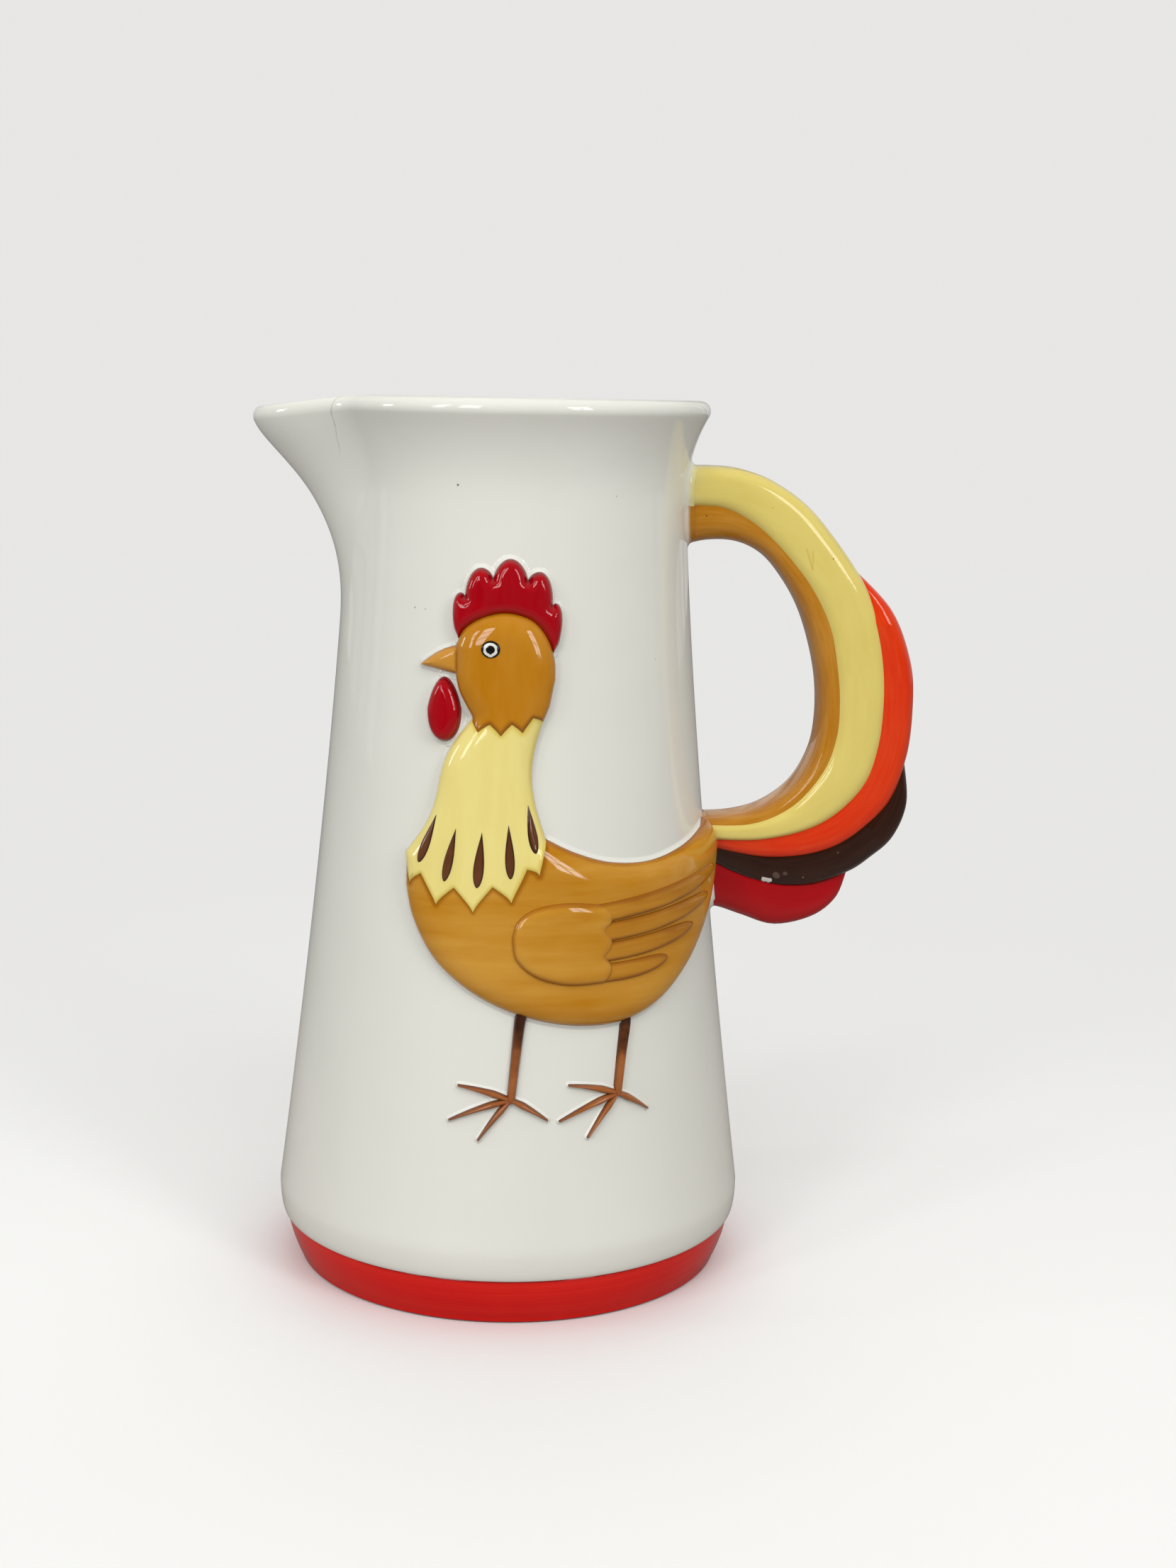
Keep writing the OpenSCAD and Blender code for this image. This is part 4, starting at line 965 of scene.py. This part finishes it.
outer_line = np.concatenate([
    belly, back[::-1], neck_shape[-1, 1:], head_shape[-1, 1:], crown[::-1], throat,
    neck_shape[0, ::-1], belly[:1]])
tail_run = belly[-1] - belly[-2]
under_tail = np.concatenate([belly, [belly[-1] + tail_run * INTO_HANDLE / tail_run[0]]])
tail_top = back[-1] + np.linspace(0, 1, 6)[1:, None] * (INTO_HANDLE, -HANDLE_DROP)
outer_edges = [under_tail, np.concatenate([tail_top[::-1], outer_line[len(belly):]])]
body_hem, head_edge = neck_shape[:, 0], head_shape[:, 0]
print("places along the outline:", len(outer_line))

# %% Body, neck and head
BODY_RISE, MOUND_REACH = 3.6, 6.5
NECK_LAYER, HEAD_LAYER, LAYER_ROUND = 0.45, 0.5, 1.0
UNDER_HEM, UNDER_HEAD = 5.0, 3.5  # how far the body goes under the neck, and it under the head
HEM_SIDES = 0.22  # share of the hem at each side where it goes under less


def mound(place):
    return BODY_RISE * shoulder(distance_to(place, outer_edges), MOUND_REACH)


def layer(place, line, thickness):
    """Thickness of a layer that is rounded off towards its own line and the outline."""
    return thickness * shoulder(distance_to(place, [line, *outer_edges]), LAYER_ROUND)


def head_top(place):
    return mound(place) + NECK_LAYER + layer(place, head_edge, HEAD_LAYER)


def area(node, grid, height, lines, paint, slot):
    """A big area of the rooster, whose paint ends at the outline and at some lines."""
    inside = distance_to(grid, outer_edges + lines)
    return relief_piece(node, [relief(grid, height, inside, back_points=BACK_POINTS)], paint, slot)


topline = np.concatenate([hem, back[1:], tail_top])
underline = np.stack([topline[:, 0], np.interp(topline[:, 0], *under_tail.T)], -1)
sides = np.clip(np.minimum(t, 1 - t) / HEM_SIDES, 0, 1)
body_teeth = np.zeros((len(topline), 1))
body_teeth[:len(hem)] = neck_tips - UNDER_HEM * sides
body_shape = patch(underline, topline, BODY_COLUMNS, 0.0, body_teeth)
area("rooster_body", body_shape, mound(body_shape), [body_hem], ochre_glaze, "ochre_glaze")
neck_grid = patch(hem, head_hem, NECK_COLUMNS, neck_tips, head_tips * (1 - sides) - UNDER_HEAD * sides,
                  neck_sway)
neck_height = mound(neck_grid) + layer(neck_grid, body_hem, NECK_LAYER)
neck = area("rooster_neck", neck_grid, neck_height, [body_hem, head_edge], neck_glaze, "yellow_glaze")
area("rooster_head", head_shape, head_top(head_shape), [head_edge], head_glaze, "ochre_glaze")

# %% [markdown]
# Each tip of the neck has a painted fleck, a drop of thick brown glaze. Geometry Nodes puts
# them there: it turns one flat drop to the surface at each place, makes it as long as the tip
# asks, and then lets it sink onto the neck, where every point keeps its own lift.

# %% Flecks on the neck
FLECK_L, FLECK_W, FLECK_RISE, FLECK_SEED = 10.0, 2.3, 0.4, 4
FLECK_ENDS = (0.12, 0.4)  # where a fleck starts and ends, from the hem to the head


def fleck_tree():
    n, given = new_tree("painted_flecks", {
        "Places": "Geometry", "Drop": "Object", "Ground": "Object", "Uneven": "Float",
        "Seed": "Int", "Glaze": "Material"})
    ground, drop = (n.out("GeometryNodeObjectInfo", {"Object": given[key]}, "Geometry")
                    for key in ("Ground", "Drop"))
    place = n.out("GeometryNodeInputPosition")
    normal = n.out("GeometryNodeInputNormal", output="Normal")

    def on_ground(value):
        return n.out("GeometryNodeSampleNearestSurface", {
            "Mesh": ground, "Value": value, "Sample Position": place}, data_type="FLOAT_VECTOR")

    def stored(name, kind="FLOAT"):
        return n.out("GeometryNodeInputNamedAttribute", {"Name": name}, data_type=kind)

    upright = n.out("FunctionNodeAlignRotationToVector", {"Vector": on_ground(normal)}, axis="Z")
    turned_to = n.out("FunctionNodeAlignRotationToVector", {
        "Rotation": upright, "Vector": stored("lean", "FLOAT_VECTOR")}, axis="Y", pivot_axis="Z")
    change = n.out("FunctionNodeRandomValue", {"Seed": given["Seed"]}, "Value", data_type="FLOAT")
    size = n.out("ShaderNodeCombineXYZ", {
        0: (change - 0.5) * given["Uneven"] + 1.0, 1: stored("stretch"), 2: 1.0})
    drops = n.out("GeometryNodeInstanceOnPoints", {
        "Points": given["Places"], "Instance": drop, "Rotation": turned_to, "Scale": size})
    real = n.out("GeometryNodeRealizeInstances", {"Geometry": drops})
    up = n.vector("SCALE", on_ground(normal), Scale=stored("lift"))
    landed = n.vector("ADD", on_ground(place), up)
    shaped = n.out("GeometryNodeSetPosition", {"Geometry": real, "Position": landed})
    return end_tree(n, shaped, given["Glaze"])


def mirrored(points):
    return np.concatenate([points, points * (1, -1, 1)])


t = np.linspace(0.0, 1, 41)
half = FLECK_W / 2 * np.sin(math.pi * t ** 0.62) + 0.02
long = (t - 0.5) * FLECK_L
drop_grid = patch(np.stack([-half, long], -1), np.stack([half, long], -1), 14)
inside = distance_to(drop_grid, [outline_of(drop_grid)])
lift = FLECK_RISE * shoulder(inside, 0.8)
front = np.dstack([drop_grid, lift])
under = np.dstack([drop_grid[:, ::-1], np.full_like(lift, -0.5)])
drop_points, drop_faces = skin(np.concatenate([front, under], 1))
drop = new_piece("one_drop", drop_points, drop_faces, [])
store(drop.data, "lift", drop_points[:, 2] * MM)
store(drop.data, "edge", np.append(np.concatenate([inside, inside * 0], 1).ravel(), [0, 0]))

tooth_rows = [int((k + 0.5) * TOOTH_ROWS) for k in range(TEETH)]
ends = np.array([along(neck_shape[row], FLECK_ENDS, crowded(neck_shape.shape[1])) for row in tooth_rows])
middle = ends.mean(1)
spots = round_wall(middle, mound(middle) + NECK_LAYER)
leans = round_wall(ends[:, 1], 0) - round_wall(ends[:, 0], 0)
spot_mesh = new_mesh("fleck_places", mirrored(spots))
store(spot_mesh, "lean", mirrored(leans), "FLOAT_VECTOR")
store(spot_mesh, "stretch", np.tile(np.linalg.norm(leans, axis=1) / FLECK_L, 2))
flecks = from_tree("neck_fleck_drops", spot_mesh, fleck_tree(), {
    "Drop": drop, "Ground": neck, "Uneven": 0.16, "Seed": FLECK_SEED, "Glaze": fleck_glaze})
bpy.data.objects.remove(drop)
dress(flecks, "leg_glaze", "neck_flecks")

# %% [markdown]
# Comb, wattle and beak are pads of their own. Each grid of places knows its outline, so one
# function rounds them all. The comb's rows fan out from a point below the head, and its
# height along them is a power of a sine, which makes five round lobes with sharp clefts.

# %% Comb, wattle and beak
COMB_H, COMB_LOBES, COMB_ROWS = 12.0, 5, 150
COMB_SPAN = (0.05, 0.8125)  # where the comb starts and ends along the crown
COMB_FAN, COMB_GAP = [0.265, 0.75], -0.8  # where its rows fan out from, and how far off the crown it starts
COMB_RISE, COMB_ROUND, COMB_ENDS, COMB_CLEFT = 3.2, 2.6, 0.3, 0.34
t = np.linspace(0, 1, COMB_ROWS + 1)
base = along(crown, np.interp(t, (0, 1), COMB_SPAN) * (len(crown) - 1))
away = base - places(COMB_FAN)
away /= np.linalg.norm(away, axis=1)[:, None]
lobe = np.abs(np.sin(math.pi * COMB_LOBES * t)) ** 0.6
arch = np.sin(math.pi * t) ** 0.8
comb_height = COMB_H * (COMB_ENDS + (1 - COMB_ENDS) * arch) * (1 - COMB_CLEFT + COMB_CLEFT * lobe)
comb_grid = patch(base + away * COMB_GAP, base + away * comb_height[:, None], 28)
relief_piece("rooster_comb", [pad(comb_grid, COMB_RISE, COMB_ROUND)], comb_glaze, "crimson_glaze")

BEAK_L, BEAK_RISE, BEAK_ROUND, CLAW_W = 8.5, 2.4, 2.2, 0.6
BEAK_TUCK = (1.6, 0)  # how far the beak starts inside the head
BEAK_DROP, BEAK_BOW = 0.7, 0.1  # how low its tip is, and how much its back is bowed
beak_foot, beak_head = jaw[0] - (GROOVE, 0), crown[0] - (GROOVE, 0)
beak_tip = beak_foot * BEAK_DROP + beak_head * (1 - BEAK_DROP) - (BEAK_L, 0)
t = np.linspace(0, 1, 41)[:, None]
beak_low = (beak_tip - (0, CLAW_W / 2)) * (1 - t) + (beak_foot + BEAK_TUCK) * t
beak_high = (beak_tip + (0, CLAW_W / 2)) * (1 - t) + (beak_head + BEAK_TUCK) * t
beak_high[:, 1] += BEAK_L * BEAK_BOW * np.sin(math.pi * t[:, 0])
beak_grid = patch(beak_low, beak_high, 24)
relief_piece("rooster_beak", [pad(beak_grid, BEAK_RISE, BEAK_ROUND)], beak_glaze, "beak_glaze")

WATTLE_L, WATTLE_W, WATTLE_RISE, WATTLE_ROUND = 15.0, 8.4, 3.1, 2.8
WATTLE_POWERS, WATTLE_ENDS = (0.85, 1.6), 0.075
t = np.linspace(0, 1, 73)
across = WATTLE_W / 2 * np.cos(math.pi * t)
wattle_low, wattle_high = (WATTLE_L / 2 * np.maximum(np.sin(math.pi * t) ** power, WATTLE_ENDS)
                           for power in WATTLE_POWERS)
wattle_z = beak_foot[1] - WATTLE_L / 2 - GROOVE
front_line = np.concatenate([neck_shape[0, :-1], throat[::-1]])
front_at = np.interp(wattle_z - wattle_low, front_line[:, 1], front_line[:, 0])
wattle_u = min(beak_foot[0] - 0.3 * BEAK_L, (front_at - GROOVE + across).min())
wattle_grid = patch(np.stack([wattle_u - across, wattle_z - wattle_low], -1),
                    np.stack([wattle_u - across, wattle_z + wattle_high], -1), 32)
relief_piece("rooster_wattle", [pad(wattle_grid, WATTLE_RISE, WATTLE_ROUND)], comb_glaze, "crimson_glaze")

# %% [markdown]
# The wing is two layers on the mound: a round shoulder whose end is scalloped into covert
# feathers, and four long feathers that come out from under it. Each long feather lies a little
# lower than the one above it, as a folded wing does.

# %% Wing
SHOULDER_LOW = [[0.29, 0.35], [0.3, 0.315], [0.345, 0.282], [0.42, 0.264], [0.51, 0.264]]
SHOULDER_HIGH = [[0.29, 0.365], [0.305, 0.397], [0.35, 0.42], [0.425, 0.428], [0.51, 0.42]]
QUILL_TIPS = [[0.93, 0.45], [0.88, 0.4], [0.8, 0.35], [0.7, 0.296]]
SHOULDER_RISE, SHOULDER_ROUND, SHOULDER_LIFT = 1.3, 2.4, 0.1
QUILL_RISE, QUILL_ROUND, QUILL_STEP, QUILL_TUCK = 0.75, 1.3, 0.08, 4.0
SCALLOPS, SCALLOP, WING_COLUMNS, WING_DEPTH = 3, 2.2, 48, 0.6


def on_mound(grid, rise, reach, lift):
    """A layer on the rooster's body, lifted off it a little."""
    ground = mound(grid)
    return pad(grid, rise, reach, ground - WING_DEPTH, ground + lift)


shoulder_low, shoulder_high = (curve(places(line), 72) for line in (SHOULDER_LOW, SHOULDER_HIGH))
shoulder_grid = patch(shoulder_low, shoulder_high, WING_COLUMNS)
t = np.linspace(0, 1, 73)[:, None]
late = np.clip((t - 0.5) / 0.5, 0, 1) ** 2
waves = np.abs(np.sin(math.pi * SCALLOPS * crowded(WING_COLUMNS))) ** 0.7
shoulder_grid[..., 0] += SCALLOP * late * waves
shoulder_pad = on_mound(shoulder_grid, SHOULDER_RISE, SHOULDER_ROUND, SHOULDER_LIFT)
relief_piece("wing_shoulder", [shoulder_pad], ochre_glaze, "ochre_glaze")

low_end, high_end = shoulder_low[-1], shoulder_high[-1]
half_w = (high_end[1] - low_end[1]) / 8 - GROOVE / 4
t = np.linspace(0, 1, 61)[:, None]
half = half_w * np.maximum(np.sqrt(1 - t ** 5), 0.15) * (0, 1)
quills = []
for k, tip in enumerate(places(QUILL_TIPS)):
    share = (k + 0.5) / 4
    begin = high_end * (1 - share) + low_end * share - (QUILL_TUCK, 0)
    middle = begin * (1 - t) + tip * t
    middle[:, 1] -= half_w * 0.25 * np.sin(math.pi * t[:, 0])
    grid = patch(middle - half, middle + half, 20)
    quills.append(on_mound(grid, QUILL_RISE, QUILL_ROUND, QUILL_STEP * (3 - k)))
relief_piece("wing_quills", quills, wing_glaze, "ochre_glaze")

# %% [markdown]
# Legs and toes are brush strokes in relief: a path, a width along it, and a rounded top. The
# toes start at the ankle, so that each foot reads as one.

# %% Legs and toes
THIGH_W, ANKLE_W, TOE_W, TOE_L = 3.6, 2.0, 1.8, 13.0
LEG_RISE, LEG_ROUND, TOE_ROUND = 1.6, 1.1, 0.9
LEG_STEPS = (77.44, 128.8)  # steps of the body's underline at which the legs start
LEG_LEAN, KNEE_SHARE, KNEE_BEND, LEG_TUCK, TOE_DROP = 0.12, 0.45, 0.02, 3.0, 0.12
ANKLE_Z = BIRD_Z + 0.03 * BIRD_H
TOES = [[160, 0.86], [194, 1.0], [228, 0.72], [336, 0.58]]  # direction in degrees, share of length


def stroke(path, widths):
    half = square_to(path) * widths[:, None] / 2
    return patch(path - half, path + half, 12)


legs, toe_grids = [], []
for at in LEG_STEPS:
    top = along(underline, at)
    d = underline[int(at) + 3] - underline[int(at) - 3]
    out = np.array([d[1], -d[0]]) / np.linalg.norm(d)
    ankle = np.array([top[0] - LEG_LEAN * (top[1] - ANKLE_Z), ANKLE_Z])
    knee = top * (1 - KNEE_SHARE) + ankle * KNEE_SHARE + out * KNEE_BEND * np.linalg.norm(top - ankle)
    path = curve([top - out * LEG_TUCK, top + out * 0.6, knee, ankle - (0, 1.0)], 48)
    widths = THIGH_W + (ANKLE_W - THIGH_W) * np.linspace(0, 1, 49) ** 0.6
    legs.append(pad(stroke(path, widths), LEG_RISE, LEG_ROUND))
    for direction, share in TOES:
        u = np.linspace(0, 1, 33)
        a, length = math.radians(direction), TOE_L * share + ANKLE_W
        path = ankle + (0.1 + length * u)[:, None] * (math.cos(a), math.sin(a))
        path[:, 1] -= TOE_DROP * length * u ** 2
        widths = np.where(u < 0.3, TOE_W * (0.7 + u), TOE_W + (CLAW_W - TOE_W) * (u - 0.3) / 0.7)
        toe_grids.append(stroke(path, widths))
relief_piece("rooster_legs", legs, leg_glaze, "leg_glaze")
toes = [pad(grid, LEG_RISE, TOE_ROUND) for grid in toe_grids]
relief_piece("rooster_toes", toes, leg_glaze, "leg_glaze")

# %% [markdown]
# The eye is a bead of glaze with three rings of colour. Its rings of points are laid on the
# surface of the head, so the bead follows it.

# %% Eye
EYE_R, EYE_RISE = 2.0, 0.55
EYE_RINGS, EYE_POINTS = 14, 48
PUPIL_SHARE, OUTLINE_SHARE = 0.55, 0.86
EYE_ALONG, EYE_UP = 0.35, 0.68  # shares along the jaw and from there up to the crown
eye_step = EYE_ALONG * (len(jaw) - 1)
eye_at = along(jaw, eye_step) * (1 - EYE_UP) + along(crown, eye_step) * EYE_UP
radii = EYE_R * np.linspace(1, 0.02, EYE_RINGS)
angles = np.linspace(0, math.tau, EYE_POINTS, endpoint=False)
rings = eye_at + radii[:, None, None] * np.stack([np.cos(angles), np.sin(angles)], -1)[None]
bead_height = head_top(rings) + EYE_RISE * np.sqrt(1 - (radii / EYE_R) ** 2)[:, None] + 0.02
sunk = round_wall(rings[:1], head_top(rings[:1]) - 0.8)
eye_points, eye_faces = skin(np.concatenate([sunk, round_wall(rings, bead_height)]))
face_r = np.linalg.norm(eye_points[[f[0] for f in eye_faces]] - eye_points[-1], axis=1) / EYE_R
eye_tint = np.where((face_r < PUPIL_SHARE) | (face_r > OUTLINE_SHARE), 0, 1)
on_both_sides("rooster_eye_bead", [(eye_points, eye_faces, np.ones(len(eye_points)))],
              [eye_glaze, eye_white], "eye_glaze", "rooster_eye", face_material=np.tile(eye_tint, 2))

# %% [markdown]
# Liquid glaze pools in every inner corner. Round the relief it makes a soft white bank, whose
# rim reads as a pale line beside each colour. The bank is a strip that follows an outline, and
# its height is again a function of distance, here to all outlines at once, so that two banks
# flow into one where they meet.

# %% Bank of glaze round the relief
BANK_STEPS = (-0.45, -0.2, 0.0, 0.15, 0.35, 0.6, 0.9, 1.25, 1.65)
BANK_SPACING, BANK_POWER = 0.45, 2.2
BANK_SINK, BANK_DEPTH = 0.08, -0.6  # how far its edge and its back lie in the wall
BANK_END = 6.0  # over this length the bank thins out towards the handle
BIG_BANK, TOE_BANK = (0.75, 1.4), (0.4, 0.9)  # rise and reach


def bank(loop, lines, rise, reach):
    """Closed strip along an outline, as high as the glaze stands at each place."""
    length = lengths_along(loop)
    loop = along(loop, np.linspace(0, length[-1], int(length[-1] / BANK_SPACING) + 1)[:-1], length)
    normals = smoothed(loop_normals(loop), 3)
    rings, heights = [], []
    for off in BANK_STEPS:
        ring = loop + normals * off * reach / BANK_STEPS[-1]
        far = np.clip(distance_to(ring, lines) / reach, 0, 1)
        full = np.clip((belly[-1, 0] - ring[:, 0]) / BANK_END, 0, 1)
        height = rise * (1 - far) ** BANK_POWER if off >= 0 else rise * 0.7
        rings.append(ring)
        heights.append(height * full - BANK_SINK * np.maximum(far, 1 - full))
    heights += [np.full(len(loop), BANK_DEPTH)] * 2
    points = round_wall(np.array([*rings, rings[-1], rings[0]]), np.array(heights))
    faces = ring_faces(*points.shape[:2])
    points = points.reshape(-1, 3)
    return points, outward(points, faces), np.zeros(len(points))


big = [outer_line] + [outline_of(grid) for grid in (comb_grid, wattle_grid, beak_grid)]
small = [outline_of(grid) for grid in toe_grids]
banks = [bank(loop, loops, *size) for loops, size in ((big, BIG_BANK), (small, TOE_BANK)) for loop in loops]
on_both_sides("glaze_bank", banks, [white_glaze], "white_glaze")

# %% [markdown]
# ## Light
#
# A glossy glaze shows the room. The photograph was taken in a bright room, where the panes of
# windows at room height break into dashes on the rim and on the handle. The world gives the
# light of the pale walls, two wide soft lights stand in for the ceiling in front and behind,
# and rows of small bright lights are the panes.

# %% World and floor
scene = bpy.context.scene
scene.view_settings.view_transform = "Standard"
PALE = 0.8
FRONT_SHOWN, WALL_SHOWN = 0.12, 0.6  # what the gloss shows of the dim front and the pale wall
ROOM_LOW, ROOM_HIGH = 0.46, 0.62  # light of the room, from the floor to the ceiling
FLOOR_R, FLOOR_POINTS, FLOOR_FADE = 2400.0, 96, (0.12, 0.5)
DAYLIGHT, HAZE = (1.0, 0.992, 0.978, 1.0), (1.0, 0.995, 0.985, 1.0)
TABLE_LIT, TABLE_SEEN = (0.3, 0.27, 0.25, 1.0), (0.87, 0.87, 0.86, 1.0)

scene.world = bpy.data.worlds.new("room")
scene.world.use_nodes = True
scene.world.node_tree.nodes.clear()
w = Nodes(scene.world.node_tree)
path = w.outs("ShaderNodeLightPath")
seen, glossy = path["Is Camera Ray"], path["Is Glossy Ray"]
way = w.out("ShaderNodeTexCoord", output="Generated")
part = w.parts(way)
bands = w.ramp(w.noise(w.scaled(way, (7.0, 7.0, 0.25)), 1.0, 3.0, 0.6), 0.35, 0.65, 0.3, 1.3)
room = w.ramp(part["Z"], -0.3, 0.9, ROOM_LOW, ROOM_HIGH, smooth=True)
shown = w.ramp(part["Y"], -0.7, 0.5, FRONT_SHOWN, WALL_SHOWN) * bands
strength = seen * PALE + (1.0 - seen) * (glossy * shown + (1.0 - glossy) * room)
light_of_room = w.out("ShaderNodeBackground", {"Color": DAYLIGHT, "Strength": strength})
w.feed(w.add("ShaderNodeOutputWorld").inputs["Surface"], light_of_room)

angles = np.linspace(0, math.tau, FLOOR_POINTS, endpoint=False)
floor_mesh = new_mesh("floor", [(FLOOR_R * math.cos(a), FLOOR_R * math.sin(a), -0.2) for a in angles],
                      faces=[tuple(range(FLOOR_POINTS))])
floor = new_object("floor", floor_mesh)
table = bpy.data.materials.new("table")
table.use_nodes = True
floor_mesh.materials.append(table)
f = Nodes(table.node_tree)
paint = table.node_tree.nodes["Principled BSDF"]
paint.inputs["Roughness"].default_value = 0.6
seen = f.outs("ShaderNodeLightPath")["Is Camera Ray"]
f.feed(paint.inputs["Base Color"], f.mix(seen, TABLE_LIT, TABLE_SEEN))
distance = f.vector("LENGTH", f.out("ShaderNodeTexCoord", output="Object"))
glow = f.out("ShaderNodeEmission", {"Color": HAZE, "Strength": f.ramp(seen, 0.0, 1.0, 0.2, PALE)})
far = f.ramp(distance, *FLOOR_FADE, smooth=True)
fade = f.out("ShaderNodeMixShader", {0: far, 1: paint.outputs[0], 2: glow})
f.feed(table.node_tree.nodes["Material Output"].inputs["Surface"], fade)
print("room light:", ROOM_LOW, "at the floor,", ROOM_HIGH, "at the ceiling")

# %% Windows
WINDOW_DISTANCE, WINDOW_AIM = 1500, (0.0, 0.0, 120.0)
PANE_ROWS, PANE_LOW_DEG, PANE_STEP_DEG, PANE_H = 3, 14, 9, 205
CEILINGS, CEILING_DEG, CEILING_SIZE = (("soft_front", 10, 1.5), ("soft_back", 165, 1.1)), 48, (1400, 1000)
PANES = (("left_pane_a", -49, 180, 6.5), ("left_pane_b", -33, 160, 6.5), ("left_pane_c", -26.5, 160, 6.5),
         ("right_pane_a", 32, 145, 8.0), ("right_pane_b", 39.5, 145, 8.0))


def window(name, azimuth_deg, height_deg, size, brightness):
    """A pane of light, seen from the pitcher at an angle from the front (to the right is plus)
    and at a height, as wide and as high as size in millimetres."""
    light = bpy.data.lights.new(name, "AREA")
    light.shape = "RECTANGLE"
    light.size, light.size_y = size[0] * MM, size[1] * MM
    light.energy = brightness * math.pi * light.size * light.size_y
    lamp = new_object(name, light)
    a, h = math.radians(azimuth_deg), math.radians(height_deg)
    way = Vector((math.cos(h) * math.sin(a), -math.cos(h) * math.cos(a), math.sin(h)))
    lamp.location = Vector(WINDOW_AIM) * MM + way * WINDOW_DISTANCE * MM
    lamp.rotation_mode = "QUATERNION"
    lamp.rotation_quaternion = way.to_track_quat("Z", "Y")
    return lamp


for name, azimuth_deg, brightness in CEILINGS:
    window(name, azimuth_deg, CEILING_DEG, CEILING_SIZE, brightness).visible_glossy = False
for row in range(PANE_ROWS):
    for name, azimuth_deg, width, brightness in PANES:
        height_deg = PANE_LOW_DEG + PANE_STEP_DEG * row
        window(f"{name}_{row}", azimuth_deg, height_deg, (width, PANE_H), brightness)
window("far_pane", -84, 16, (170, 300), 9.0)
print("lights:", len(bpy.data.lights))
